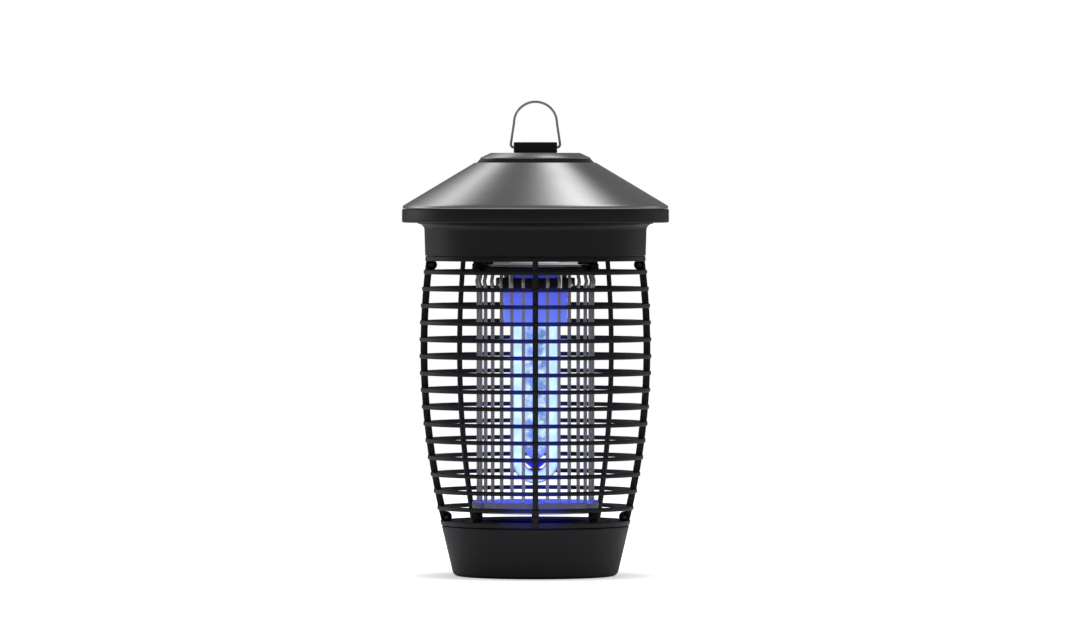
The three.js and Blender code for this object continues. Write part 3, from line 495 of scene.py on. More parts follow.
def filleted(corners, steps=FILLET_STEPS):
    """Rounds the corners of a closed outline. Each corner is (x, y, fillet radius)."""
    points = []
    for i, (x, y, radius) in enumerate(corners):
        here = Vector((x, y))
        before = Vector(corners[i - 1][:2]) - here
        after = Vector(corners[(i + 1) % len(corners)][:2]) - here
        if radius <= 0:
            points.append(here)
            continue
        half = before.angle(after) / 2
        reach = min(radius / math.tan(half), 0.49 * before.length, 0.49 * after.length)
        centre = here + (before.normalized() + after.normalized()).normalized() * (reach / math.cos(half))
        first, last = here + before.normalized(
        ) * reach - centre, here + after.normalized() * reach - centre
        turn = first.angle_signed(last)
        for k in range(steps + 1):
            spoke = Matrix.Rotation(-turn * k / steps, 2) @ first
            points.append(centre + spoke)
    return points


def mesh_of(name, points, faces):
    mesh = bpy.data.meshes.new(name)
    mesh.from_pydata([Vector(p) * MM for p in points], [], faces)
    mesh.validate()
    solid = bmesh.new()
    solid.from_mesh(mesh)
    bmesh.ops.remove_doubles(solid, verts=solid.verts, dist=1e-7)
    bmesh.ops.recalc_face_normals(solid, faces=solid.faces)
    solid.to_mesh(mesh)
    solid.free()
    return mesh


def turned(outline, steps=TURN_STEPS, start=0.0, sweep=360.0, place=None):
    """Turns a closed outline of (radius, height) points about Z. A part turn gets flat ends."""
    whole = sweep >= 360.0
    columns = steps if whole else steps + 1
    points, faces, rows = [], [], len(outline)
    for i in range(columns):
        angle = math.radians(start + sweep * i / steps)
        for radius, height in outline:
            points.append((max(radius, 0.0) * math.cos(angle), max(radius, 0.0) * math.sin(angle), height))
    for i in range(steps):
        here, there = i * rows, ((i + 1) % columns) * rows
        for k in range(rows):
            n = (k + 1) % rows
            if outline[k][0] > 1e-6 or outline[n][0] > 1e-6:
                faces.append((here + k, there + k, there + n, here + n))
    if not whole:
        faces += [tuple(range(rows)), tuple(range((columns - 1) * rows, columns * rows))]
    mesh = mesh_of("turned", points, faces)
    if place is not None:
        mesh.transform(place)
    return mesh


def swept(path, section):
    """Carries an outline, as (side, up) offsets, along a path of points without twist."""
    path = [Vector(p) for p in path]
    tangents = []
    for i, here in enumerate(path):
        before = path[max(i - 1, 0)]
        after = path[min(i + 1, len(path) - 1)]
        tangents.append((after - before).normalized())
    side = tangents[0].cross(Vector((0, 1, 0)))
    side = (side if side.length > 0.1 else tangents[0].cross(Vector((1, 0, 0)))).normalized()
    points, faces, count = [], [], len(section)
    for i, here in enumerate(path):
        side = (side - tangents[i] * side.dot(tangents[i])).normalized()
        up = tangents[i].cross(side)
        points += [here + side * a + up * b for a, b in section]
    for i in range(len(path) - 1):
        for k in range(count):
            n = (k + 1) % count
            faces.append((i * count + k, i * count + n, (i + 1) * count + n, (i + 1) * count + k))
    faces += [tuple(range(count)), tuple(range(len(points) - count, len(points)))]
    return mesh_of("swept", points, faces)


def circle(radius, sides):
    return [
        (radius * math.cos(2 * math.pi * k / sides), radius * math.sin(2 * math.pi * k / sides))
        for k in range(sides)
    ]


def block(size, centre, soft=0.4, segments=3):
    """A box with rounded edges."""
    solid = bmesh.new()
    bmesh.ops.create_cube(solid, size=1.0)
    bmesh.ops.scale(solid, vec=Vector(size) * MM, verts=solid.verts)
    bmesh.ops.bevel(
        solid, geom=solid.edges[:], offset=soft * MM, segments=segments, profile=0.5, affect="EDGES"
    )
    bmesh.ops.translate(solid, vec=Vector(centre) * MM, verts=solid.verts)
    mesh = bpy.data.meshes.new("block")
    solid.to_mesh(mesh)
    solid.free()
    return mesh


def plate(outline, bottom, top, soft=0.5, place=None):
    """A flat outline raised to a thickness, its top and bottom edges rounded."""
    solid = bmesh.new()
    rim = [solid.verts.new((x * MM, y * MM, bottom * MM)) for x, y in outline]
    face = solid.faces.new(rim)
    raised = bmesh.ops.extrude_face_region(solid, geom=[face])["geom"]
    lifted = [v for v in raised if isinstance(v, bmesh.types.BMVert)]
    bmesh.ops.translate(solid, vec=(0, 0, (top - bottom) * MM), verts=lifted)
    level = [e for e in solid.edges if abs(e.verts[0].co.z - e.verts[1].co.z) < 1e-7]
    if soft:
        bmesh.ops.bevel(solid, geom=level, offset=soft * MM, segments=3, profile=0.5, affect="EDGES")
    bmesh.ops.recalc_face_normals(solid, faces=solid.faces)
    mesh = bpy.data.meshes.new("plate")
    solid.to_mesh(mesh)
    solid.free()
    if place is not None:
        mesh.transform(place)
    return mesh


def cut(mesh, *cutters):
    """Takes the cutters away from a mesh."""
    target = bpy.data.objects.new("target", mesh)
    bpy.context.scene.collection.objects.link(target)
    for i, cutter in enumerate(cutters):
        tool = bpy.data.objects.new("tool", cutter)
        bpy.context.scene.collection.objects.link(tool)
        modifier = target.modifiers.new(f"cut_{i}", "BOOLEAN")
        modifier.operation, modifier.solver, modifier.object = "DIFFERENCE", "EXACT", tool
    made_mesh = bpy.data.meshes.new_from_object(target.evaluated_get(bpy.context.evaluated_depsgraph_get()))
    for thing in [m.object for m in target.modifiers] + [target]:
        bpy.data.objects.remove(thing)
    return made_mesh


def along_y(x, z, y=0.0, flip=False):
    """Lays an upright shape along Y, its foot at y. Flipped, its top looks to the front."""
    turn = math.radians(90 if flip else -90)
    return Matrix.Translation(Vector((x, y, z)) * MM) @ Matrix.Rotation(turn, 4, "X")


def at(x, y, z=0.0, turn=0.0):
    return Matrix.Translation(Vector((x, y, z)) * MM) @ Matrix.Rotation(math.radians(turn), 4, "Z")


def moved(mesh, place):
    copy = mesh.copy()
    copy.transform(place)
    return copy


def made(name, meshes, finish, body, nodes):
    """Gathers meshes into one piece, gives it its finish and joins it to its body."""
    gathered = bmesh.new()
    for mesh in meshes if isinstance(meshes, list) else [meshes]:
        gathered.from_mesh(mesh)
    bmesh.ops.triangulate(gathered, faces=[f for f in gathered.faces if len(f.verts) > 4])
    mesh = bpy.data.meshes.new(name)
    gathered.to_mesh(mesh)
    gathered.free()
    mesh.materials.clear()
    mesh.materials.append(finish)
    mesh.polygons.foreach_set("material_index", [0] * len(mesh.polygons))
    mesh.polygons.foreach_set("use_smooth", [True] * len(mesh.polygons))
    mesh.set_sharp_from_angle(angle=SHARP_ANGLE)
    piece = bpy.data.objects.new(name, mesh)
    bpy.context.scene.collection.objects.link(piece)
    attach(piece, body)
    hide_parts(*nodes)


# ---------------------------------------------------------------- geometry node trees


def grower(name, inputs):
    """An empty geometry tree with named inputs. Gives the tree, its inputs' sockets and its output node."""
    tree = bpy.data.node_groups.new(name, "GeometryNodeTree")
    tree.is_modifier = True
    tree.interface.new_socket("Geometry", in_out="INPUT", socket_type="NodeSocketGeometry")
    tree.interface.new_socket("Geometry", in_out="OUTPUT", socket_type="NodeSocketGeometry")
    for label, value in inputs.items():
        kinds = {int: "NodeSocketInt", float: "NodeSocketFloat", str: value, tuple: "NodeSocketVector"}
        socket = tree.interface.new_socket(label, in_out="INPUT", socket_type=kinds[type(value)])
        if not isinstance(value, str):
            socket.default_value = value
    return tree, put(tree, "NodeGroupInput").outputs, put(tree, "NodeGroupOutput")


def finish_tree(tree, given, result, geometry):
    """Every tree ends in real geometry with its material."""
    real = joined(tree, "GeometryNodeRealizeInstances", {"Geometry": geometry})
    coated = joined(tree, "GeometryNodeSetMaterial", {"Geometry": real, "Material": given["Finish"]})
    tree.links.new(coated, result.inputs["Geometry"])
    return tree


def grown(tree, values, base=None):
    """Runs a geometry tree on a base mesh and gives back the plain mesh that it makes."""
    carrier = bpy.data.objects.new("carrier", base or bpy.data.meshes.new("empty"))
    bpy.context.scene.collection.objects.link(carrier)
    modifier = carrier.modifiers.new("grow", "NODES")
    modifier.node_group = tree
    for item in tree.interface.items_tree:
        if item.item_type == "SOCKET" and item.in_out == "INPUT" and item.name in values:
            modifier[item.identifier] = values[item.name]
    mesh = bpy.data.meshes.new_from_object(carrier.evaluated_get(bpy.context.evaluated_depsgraph_get()))
    carrier.modifiers.clear()
    bpy.data.objects.remove(carrier)
    return mesh


def arc_rule(tree, given, height):
    """The guard's radius at a height: the waist's, less the square of the rise from it over twice the arc."""
    rise = less(tree, height, given["Waist Height"])
    drop = over(tree, times(tree, rise, rise), given["Arc Diameter"])
    return less(tree, given["Waist Radius"], drop)


def soft_bar(tree, wide, tall, soft):
    """The filleted section of a louvre or a rib."""
    frame_line = joined(tree, "GeometryNodeCurvePrimitiveQuadrilateral", {"Width": wide, "Height": tall})
    inputs = {"Curve": frame_line, "Radius": soft, "Count": 3, "Limit Radius": True}
    return joined(tree, "GeometryNodeFilletCurve", inputs, mode="POLY")


ARC_INPUTS = {"Waist Radius": 0.1, "Waist Height": 0.1, "Arc Diameter": 1.0, "Finish": "NodeSocketMaterial"}


def bar_along(tree, line, section):
    """Carries a section along a line and closes its ends."""
    inputs = {"Curve": line, "Profile Curve": section, "Fill Caps": True}
    return joined(tree, "GeometryNodeCurveToMesh", inputs)


def upright_line(tree, given, steps):
    ends = {"Start": vector_of(tree, z=given["Bottom"]), "End": vector_of(tree, z=given["Top"])}
    line = joined(tree, "GeometryNodeCurvePrimitiveLine", ends)
    return joined(tree, "GeometryNodeResampleCurve", {"Curve": line, "Count": steps})


def shifted(tree, shape, offset):
    return joined(tree, "GeometryNodeSetPosition", {"Geometry": shape, "Offset": offset})


def set_round(tree, given, shape, angle):
    """Copies of a shape round the upright axis, each turned by its own angle."""
    hubs = joined(tree, "GeometryNodePoints", {"Count": given["Count"], "Position": (0, 0, 0)})
    turn = joined(tree, "FunctionNodeEulerToRotation", {0: vector_of(tree, z=angle)})
    inputs = {"Points": hubs, "Instance": shape, "Rotation": turn}
    return joined(tree, "GeometryNodeInstanceOnPoints", inputs)


def louvre_tree():
    """Arcs of a ring at even heights, each as wide as the arc rule says."""
    sizes = {"Count": 3, "Pitch": 0.01, "Lowest": 0.0, "Depth": 0.006, "Thickness": 0.002, "Fillet": 0.0005}
    sizes.update({"Start": 0.0, "Sweep": 3.14, "Steps": 72})
    tree, given, result = grower("louvres", {**sizes, **ARC_INPUTS})
    height = plus(
        tree, times(tree, joined(tree, "GeometryNodeInputIndex"), given["Pitch"]), given["Lowest"]
    )
    inputs = {"Count": given["Count"], "Position": vector_of(tree, z=height)}
    levels = joined(tree, "GeometryNodePoints", inputs)
    inputs = {"Resolution": given["Steps"], "Start Angle": given["Start"], "Sweep Angle": given["Sweep"]}
    turn = joined(tree, "GeometryNodeCurveArc", {"Radius": 1.0, **inputs})
    level = parts_of(tree, joined(tree, "GeometryNodeInputPosition"))[2]
    middle = less(tree, arc_rule(tree, given, level), over(tree, given["Depth"], 2.0))
    inputs = {"Points": levels, "Instance": turn, "Scale": vector_of(tree, middle, middle, 1.0)}
    lines = joined(tree, "GeometryNodeInstanceOnPoints", inputs)
    lines = joined(tree, "GeometryNodeRealizeInstances", {"Geometry": lines})
    lines = joined(tree, "GeometryNodeSetCurveNormal", {"Curve": lines}, mode="Z_UP")
    section = soft_bar(tree, given["Depth"], given["Thickness"], given["Fillet"])
    return finish_tree(tree, given, result, bar_along(tree, lines, section))


def rib_tree():
    """Upright ribs that follow the arc rule, spread round the axis at even angles."""
    sizes = {"Count": 2, "First Angle": 0.0, "Angle Step": 0.5, "Side Shift": 0.0, "Inset": 0.001}
    sizes.update({"Depth": 0.005, "Width": 0.003, "Fillet": 0.0005, "Bottom": 0.0, "Top": 0.2, "Steps": 40})
    tree, given, result = grower("ribs", {**sizes, **ARC_INPUTS})
    section = soft_bar(tree, given["Depth"], given["Width"], given["Fillet"])
    bar = bar_along(tree, upright_line(tree, given, given["Steps"]), section)
    z = parts_of(tree, joined(tree, "GeometryNodeInputPosition"))[2]
    reach = less(tree, arc_rule(tree, given, z), given["Inset"])
    reach = less(tree, reach, over(tree, given["Depth"], 2.0))
    bent = shifted(tree, bar, vector_of(tree, reach, given["Side Shift"]))
    index = joined(tree, "GeometryNodeInputIndex")
    angle = plus(tree, times(tree, index, given["Angle Step"]), given["First Angle"])
    return finish_tree(tree, given, result, set_round(tree, given, bent, angle))


def rod_tree():
    """A cage of upright rods. Each bows out a little where it is hooked under the upper insulator."""
    sizes = {"Count": 15, "First Angle": 0.0, "Circle": 0.047, "Rod Radius": 0.0014, "Bottom": 0.05}
    sizes.update({"Top": 0.25, "Hook Height": 0.24, "Hook Reach": 0.002, "Hook Length": 0.006, "Sides": 12})
    tree, given, result = grower("grid rods", {**sizes, "Finish": "NodeSocketMaterial"})
    line = upright_line(tree, given, 90)
    z = parts_of(tree, joined(tree, "GeometryNodeInputPosition"))[2]
    away = maths(tree, "ABSOLUTE", less(tree, z, given["Hook Height"]))
    bow = times(tree, ranged(tree, away, given["Hook Length"], 0.0), given["Hook Reach"])
    line = shifted(tree, line, vector_of(tree, plus(tree, bow, given["Circle"])))
    inputs = {"Resolution": given["Sides"], "Radius": given["Rod Radius"]}
    rod = bar_along(tree, line, joined(tree, "GeometryNodeCurvePrimitiveCircle", inputs))
    index = joined(tree, "GeometryNodeInputIndex")
    share = over(tree, times(tree, index, 2 * math.pi), given["Count"])
    angle = plus(tree, share, given["First Angle"])
    return finish_tree(tree, given, result, set_round(tree, given, rod, angle))


def fixing_tree():
    """One fixing on each point of the base mesh, each spun by its own seeded angle."""
    inputs = {"Piece": "NodeSocketObject", "Turn": (0.0, 0.0, 0.0), "Spin": 3.14, "Seed": 4}
    tree, given, result = grower("fixings", {**inputs, "Finish": "NodeSocketMaterial"})
    shape = put(tree, "GeometryNodeObjectInfo", {"Object": given["Piece"]}).outputs["Geometry"]
    spin_inputs = {2: 0.0, 3: given["Spin"], "Seed": given["Seed"]}  # 2 and 3 are the float least and most
    spin = put(tree, "FunctionNodeRandomValue", spin_inputs, data_type="FLOAT").outputs[1]
    own = joined(tree, "FunctionNodeEulerToRotation", {0: vector_of(tree, z=spin)})
    base = joined(tree, "FunctionNodeEulerToRotation", {0: given["Turn"]})
    turn = joined(tree, "FunctionNodeRotateRotation", {0: base, 1: own}, rotation_space="LOCAL")
    inputs = {"Points": given["Geometry"], "Instance": shape, "Rotation": turn}
    return finish_tree(tree, given, result, joined(tree, "GeometryNodeInstanceOnPoints", inputs))


LOUVRES, RIBS, RODS, FIXINGS = louvre_tree(), rib_tree(), rod_tree(), fixing_tree()
RULE = {
    "Waist Radius": WAIST_RADIUS * MM, "Waist Height": WAIST_HEIGHT * MM,
    "Arc Diameter": 2 * ARC_RADIUS * MM
}


LOOSE_TURN = 3.14  # each fixing is spun by up to this much


def fixed_at(template, places, turn, finish, seed=4):
    """Copies of a fixing at places in millimetres, all laid the same way."""
    holder = bpy.data.objects.new("fixing_template", template)
    bpy.context.scene.collection.objects.link(holder)
    dots = bpy.data.meshes.new("places")
    dots.from_pydata([Vector(p) * MM for p in places], [], [])
    values = {"Piece": holder, "Turn": turn, "Spin": LOOSE_TURN, "Seed": seed, "Finish": finish}
    mesh = grown(FIXINGS, values, dots)
    bpy.data.objects.remove(holder)
    return mesh


def pan_screw(head, head_height, shank, length):
    """A screw with a domed head and a cross recess. Its head's top looks along +Z and starts at zero."""
    outline = filleted([
        (0, -length, 0), (shank * 0.6, -length, 0), (shank, -length + shank, 0), (shank, -head_height, 0),
        (head, -head_height, 0.15), (head, -head_height * 0.55, head * 0.25), (head * 0.55, 0, head * 0.3),
        (0, 0.02, 0)
    ])
    body = turned(outline, 24)
    long, wide = head * 0.53, head * 0.14
    cross = [(wide, wide), (wide, long), (-wide, long), (-wide, wide), (-long, wide), (-long, -wide)]
    cross += [(-x, -y) for x, y in cross]
    return cut(body, plate(cross, -head_height * 0.55, head_height, 0))


# ---------------------------------------------------------------- tray, lock ring and floor


def build_tray():
    """A tapered cup with a lip, on a shallow foot ring."""
    mouth, foot, top, floor = high("tray", 0), 67.5, high("tray"), 1.1
    outline = filleted([
        (0, floor, 0), (foot - 11, floor, 0.5), (foot - 12.2 + 3, 0, 0.5), (foot, 0, 5.6),
        (mouth - 0.05, top - 1.4, 0.3), (mouth, top - 1.3, 0.2), (mouth, top, 0.7), (mouth - 2.4, top, 0.5),
        (foot - 2.6, 6.5, 3.0), (0, floor + 1.5, 0)
    ])
    made("drip_tray", turned(outline), SATIN_BLACK, "tray", ["tray"])


def build_lock_ring():
    outer, (bottom, top) = high("lock_ring", 0), span("lock_ring")
    inner = outer - 2.4
    shell = turned(
        filleted([(inner, bottom, 0.4), (outer, bottom, 0.5), (outer, top, 0.5), (inner, top, 0.4)])
    )
    made("lock_ring_moulding", shell, INNER_BLACK, "tray_lock", ["lock_ring"])


def build_floor():
    """An open ring on six spokes, in a rim whose skirt the lock ring turns on."""
    outer, (bottom, top) = high("floor_spider", 0), span("floor_spider")
    under = top - 3.4
    skirt, inner, hook = outer - 4.0, outer - 6.4, 1.4
    rim = filleted([
        (inner, bottom, 0.4), (skirt + 2.4, bottom, 0.4), (skirt + 2.4, bottom + hook, 0.3),
        (skirt, bottom + hook, 0.3), (skirt, under, 0.4), (outer, under, 0.4), (outer, top, 0.6),
        (inner - 1, top, 0.6), (inner - 1, under, 0.4), (inner, under, 0.4)
    ])
    ring = filleted([(50.0, under, 0.5), (59.0, under, 0.5), (59.0, top, 0.6), (50.0, top, 0.6)])
    spoke = block((6.2, 5.0, 3.2), (60.7, 0, under + 1.65), 0.5)
    spokes = [moved(spoke, Matrix.Rotation(math.radians(60 * i), 4, "Z")) for i in range(6)]
    meshes = [turned(rim), turned(ring), *spokes]
    made("floor_spider_moulding", meshes, INNER_BLACK, "housing", ["floor_spider"])


# ---------------------------------------------------------------- guard

BOSS_RADIUS, BOSS_LENGTH = 4.4, 8.5
BOSS_HEIGHTS = (48.6, 256.4)
SCREW_PLACES = [(side * (guard_radius(z) - 5.9), z) for z in BOSS_HEIGHTS for side in (-1, 1)]
BAND_HEIGHT = 4.0
FLANGE_WIDTH = 4.0  # of each half, along the split
FRONT_RIB_WIDTH = 4.6
SIDE_RIB_WIDTH, SIDE_RIB_DEPTH, SIDE_RIB_ANGLE = 2.4, 2.6, 42
END_GAP = 0.2  # from a rib's ends to the guard's


def build_guard_half(name, node, front):
    """Half of the guard, split at the plane through the sides."""
    middle = -90.0 if front else 90.0
    bottom, top = span(node)
    shared = {**RULE, "Finish": GUARD_BLACK}
    gap_angle = math.asin(HALF_GAP / WAIST_RADIUS)
    louvres = grown(
        LOUVRES,
        {
            **shared, "Count": LOUVRE_COUNT, "Pitch": LOUVRE_PITCH * MM, "Lowest": LOWEST_LOUVRE * MM,
            "Depth": LOUVRE_DEPTH * MM, "Thickness": LOUVRE_THICKNESS * MM, "Fillet": 0.5 * MM,
            "Start": math.radians(middle - 90) + gap_angle, "Sweep": math.pi - 2 * gap_angle
        }
    )

    def ribs(count, first, step, width, shift=0.0, depth=RIB_DEPTH, soft=0.6):
        return grown(
            RIBS,
            {
                **shared, "Count": count, "First Angle": math.radians(first),
                "Angle Step": math.radians(step), "Side Shift": shift * MM, "Inset": RIB_INSET * MM,
                "Depth": depth * MM, "Width": width * MM, "Fillet": soft * MM,
                "Bottom": (bottom + END_GAP) * MM, "Top": (top - END_GAP) * MM
            }
        )

    meshes = [louvres, ribs(1, middle, 0, FRONT_RIB_WIDTH)]
    first_rib, between_ribs = middle - SIDE_RIB_ANGLE, 2 * SIDE_RIB_ANGLE
    meshes.append(ribs(2, first_rib, between_ribs, SIDE_RIB_WIDTH, 0.0, SIDE_RIB_DEPTH))
    flange, flange_depth = FLANGE_WIDTH - HALF_GAP, LOUVRE_DEPTH - RIB_INSET
    for hand in (-1, 1):
        shift = -hand * (flange / 2 + HALF_GAP)
        meshes.append(ribs(1, middle + hand * 90, 0, flange, shift, flange_depth, 0.4))
    gap = math.degrees(math.asin(HALF_GAP / guard_radius(bottom)))
    for edge, other in ((bottom, bottom + BAND_HEIGHT), (top - BAND_HEIGHT, top)):
        outline = filleted([
            (guard_radius(edge) - LOUVRE_DEPTH, edge, 0.4), (guard_radius(edge), edge, 0.5),
            (guard_radius(other), other, 0.5), (guard_radius(other) - LOUVRE_DEPTH, other, 0.4)
        ])
        meshes.append(turned(outline, 96, middle - 90 + gap, 180 - 2 * gap))
    # A boss is bored through at the front, where the screw's head sinks in, and blind at the rear.
    hole, recess, length = 2.1, 3.4, BOSS_LENGTH
    boss = [(hole, HALF_GAP, 0.1), (BOSS_RADIUS, HALF_GAP, 0.2)]
    if front:
        boss += [(BOSS_RADIUS, length, 0.6), (recess + 0.05, length, 0.25), (recess, length - 2.7, 0.2)]
        boss += [(hole, length - 2.8, 0.1)]
    else:
        boss += [
            (BOSS_RADIUS, length, 0.8), (0, length, 0), (0, length - 2.0, 0), (hole, length - 2.0, 0.1)
        ]
    for x, z in SCREW_PLACES:
        meshes.append(turned(filleted(boss), 36, place=along_y(x, z, flip=front)))
    # The middle rib swells where it stands on the band.
    swell_height, tall, wide, neck = BOSS_HEIGHTS[0] + 2.0, 6.2, 3.5, 2.2
    swell_reach = guard_radius(swell_height) - RIB_INSET - RIB_DEPTH / 2
    outline = filleted([(0, -tall, 0), (neck, -tall, 0.8), (wide, 0, 4.0), (neck, tall, 0.8), (0, tall, 0)])
    side = -1 if front else 1
    meshes.append(turned(outline, 28, place=at(0, side * swell_reach, swell_height)))
    made(name, meshes, GUARD_BLACK, "housing", [node])


def build_guard_screws():
    sink, tip_room = 0.35, 6.0
    screw = pan_screw(3.0, 1.9, 1.6, BOSS_LENGTH * 2 - tip_room)
    places = [(x, -BOSS_LENGTH + sink, z) for x, z in SCREW_PLACES]
    mesh = fixed_at(screw, places, (math.radians(90), 0, 0), DARK_SCREW)
    made("guard_screws", mesh, DARK_SCREW, "housing", four("guard_screw"))


# ---------------------------------------------------------------- high-voltage grid

STANDOFF_PLACES = [(sx * 47.7, sy * 26.4) for sx, sy in ((1, -1), (1, 1), (-1, 1), (-1, -1))]


BUS_THICKNESS, BUS_HALF_WIDTH = 1.6, 2
HOOK_HEIGHT, HOOK_REACH, HOOK_LENGTH = 242.5, 1.2, 5.2


def ring_outline(inner, outer, bottom, top, soft):
    return filleted([(inner, bottom, soft), (outer, bottom, soft), (outer, top, soft), (inner, top, soft)])


def disc_outline(radius, bottom, top, soft, soft_top=None):
    """Half the outline of a disc. Its upper edge may have a fillet of its own."""
    soft_top = soft if soft_top is None else soft_top
    return filleted([(0, bottom, 0), (radius, bottom, soft), (radius, top, soft_top), (0, top, 0)])


def bore(radius, bottom, top, steps, place=None):
    """A round cutter."""
    return turned([(0, bottom), (radius, bottom), (radius, top), (0, top)], steps, place=place)


def build_rods(name, node, first, upper):
    """One of the two charged sets: every other rod, hung from its bus or standing on it."""
    free_end = 0.2
    values = {
        "Count": ROD_COUNT // 2, "First Angle": math.radians(-90 + first * 360 / ROD_COUNT),
        "Circle": GRID_RADIUS * MM, "Rod Radius": ROD_RADIUS * MM,
        "Bottom": (low(node) + (0 if upper else free_end)) * MM,
        "Top": (high(node) - (free_end if upper else 0)) * MM, "Hook Height": HOOK_HEIGHT * MM,
        "Hook Reach": HOOK_REACH * MM, "Hook Length": HOOK_LENGTH * MM, "Finish": ROD_STEEL
    }
    inner, outer = GRID_RADIUS - BUS_HALF_WIDTH, GRID_RADIUS + BUS_HALF_WIDTH
    bottom = high(node) - BUS_THICKNESS if upper else low(node)
    bus = turned(ring_outline(inner, outer, bottom, bottom + BUS_THICKNESS, 0.3), 96)
    made(name, [grown(RODS, values), bus], ROD_STEEL, "housing", [node])


def build_insulator(name, node, finish):
    """A ring with a collar round each rod and a lug at each stand-off."""
    bottom, top = span(node)
    meshes = [turned(ring_outline(GRID_RADIUS - 3.2, GRID_RADIUS + 4.6, bottom, top, 0.7), 128)]
    ferrule = turned(ring_outline(ROD_RADIUS + 0.35, ROD_RADIUS + 1.2, top - 0.3, top + 0.15, 0.15), 16)
    for i in range(ROD_COUNT):
        turn = math.radians(i * 360 / ROD_COUNT - 90)
        meshes.append(moved(ferrule, at(GRID_RADIUS * math.cos(turn), GRID_RADIUS * math.sin(turn))))
    lug = turned(disc_outline(4.4, bottom, top, 0.6), 32)
    meshes += [moved(lug, at(x, y)) for x, y in STANDOFF_PLACES]
    made(name, meshes, finish, "housing", [node])


def build_pillar(name, node, ribbed):
    """A post between two flanges. A ribbed one has four webs and a wedge towards the lamp."""
    (x, y), (bottom, top) = middle_of(node), span(node)
    flange, waist = 4.35, 3.5 if ribbed else 3.9
    outline = filleted([
        (0, bottom, 0), (flange, bottom, 0.4), (flange, bottom + 1.8, 0.5), (waist, bottom + 2.6, 0.6),
        (waist, top - 2.2, 0.6), (flange, top - 1.4, 0.5), (flange, top, 0.3), (0, top, 0)
    ])
    meshes = [turned(outline, 32, place=at(x, y))]
    if ribbed:
        for quarter in range(4):
            web = block((4.25, 1.0, top - bottom - 0.4), (2.1, 0, (top + bottom) / 2), 0.2, 2)
            meshes.append(moved(web, at(x, y, 0, 45 + 90 * quarter)))
        inward = -math.copysign(1.0, x)
        meshes.append(block((13.0, 2.4, 6.6), (x + inward * 6.5, y, top - 3.4), 0.3, 2))
    made(name, meshes, INNER_BLACK, "housing", [node])


def build_standoffs():
    for i in range(1, 5):
        build_pillar(f"standoff_{i}", f"grid_standoff_{i}", True)
        build_pillar(f"post_{i}", f"grid_post_{i}", False)


def build_hung_screws(name, nodes, screw, seed):
    """Screws that go up from below, their heads' tops a hair inside the parts they stand for."""
    places = [(*middle_of(node), low(node) + 0.02) for node in nodes]
    mesh = fixed_at(screw, places, (math.pi, 0, 0), BRIGHT_STEEL, seed)
    made(name, mesh, BRIGHT_STEEL, "housing", nodes)


# ---------------------------------------------------------------- lamp

TUBE_RADIUS, LEG_SPACING = 5.15, 30.7
LAMP_TURN = 20.2  # degrees the outer tube's plane stands round from X


def build_tube(name, node, degrees, glass):
    """A tube bent to a U in an upright plane at an angle round from X."""
    across = Matrix.Rotation(math.radians(degrees), 3, "Z") @ Vector((1, 0, 0))
    bottom, top = span(node)
    bend, leg_steps, bend_steps = LEG_SPACING / 2, 20, 24
    bend_height = bottom + TUBE_RADIUS + bend
    path = [(-bend, top - 0.02 + (bend_height - top) * i / leg_steps) for i in range(leg_steps + 1)]
    for i in range(1, bend_steps):
        angle = math.pi * (1 + i / bend_steps)
        path.append((bend * math.cos(angle), bend_height + bend * math.sin(angle)))
    for i in range(leg_steps + 1):
        path.append((bend, bend_height + (top - 0.02 - bend_height) * i / leg_steps))
    points = [(across[0] * side, across[1] * side, height) for side, height in path]
    made(name, swept(points, circle(TUBE_RADIUS, 28)), glass, "housing", [node])


def build_lamp():
    build_tube("outer_tube", "lamp_tube_outer", LAMP_TURN, LAMP_GLASS)
    build_tube("inner_tube", "lamp_tube_inner", LAMP_TURN + 90, SHADED_INNER_GLASS)
    (bottom, top), outer = span("lamp_head"), high("lamp_head", 0)
    shell, rim = outer - 0.6, top - 5.6
    outline = filleted([
        (0, bottom, 0), (outer - 2.0, bottom, 0.8), (shell, bottom + 2.4, 0.8), (shell, top - 6.0, 0.2),
        (outer, rim, 0.3), (outer, top - 0.9, 0.4), (outer - 0.9, top, 0.4), (0, top, 0)
    ])
    made("lamp_head_shell", turned(outline, 96), LAMP_HEAD, "housing", ["lamp_head"])
    (bottom, top), wide = span("lamp_spacer"), high("lamp_spacer", 0)
    outline = filleted([
        (0, bottom, 0), (0.8, bottom, 0.3), (wide, top - 1, 0.3), (wide, top, 0.3), (0, top, 0)
    ])
    made("tube_spacer", turned(outline, 40), BLUE_SPACER_PAINTED_GLOW, "housing", ["lamp_spacer"])


def rounded_block(node, corner, steps, bottom, top, soft):
    """A block as wide and deep as its part, with rounded corners."""
    x, y = high(node, 0), high(node, 1)
    corners = [(-x, -y, corner), (x, -y, corner), (x, y, corner), (-x, y, corner)]
    return plate(filleted(corners, steps), bottom, top, soft)


def build_holder():
    """The block round the lamp's socket, and the socket with the flange that shades the lamp's head."""
    bottom, top = span("lamp_holder")
    body = rounded_block("lamp_holder", 9, 8, bottom, top, 0.8)
    body = cut(body, bore(17.5, bottom - 2, top + 2, 64))
    made("holder_block", body, GLOSS_BLACK, "housing", ["lamp_holder"])
    bottom, top = span("lamp_socket")
    shell, hollow, flange, thick = 17, 13.5, 26, 3.4
    flange_top = low("upper_insulator") - 0.4
    outline = filleted([
        (0, top, 0), (shell, top, 0.6), (shell, flange_top, 0.3), (flange, flange_top, 0.4),
        (flange, flange_top - thick, 0.4), (shell, flange_top - thick, 0.1), (shell, bottom, 0.5),
        (hollow, bottom, 0.5), (hollow, top - 3.5, 0.5), (0, top - 3.5, 0)
    ])
    made("socket_shell", turned(outline, 72), LIT_BLACK, "housing", ["lamp_socket"])


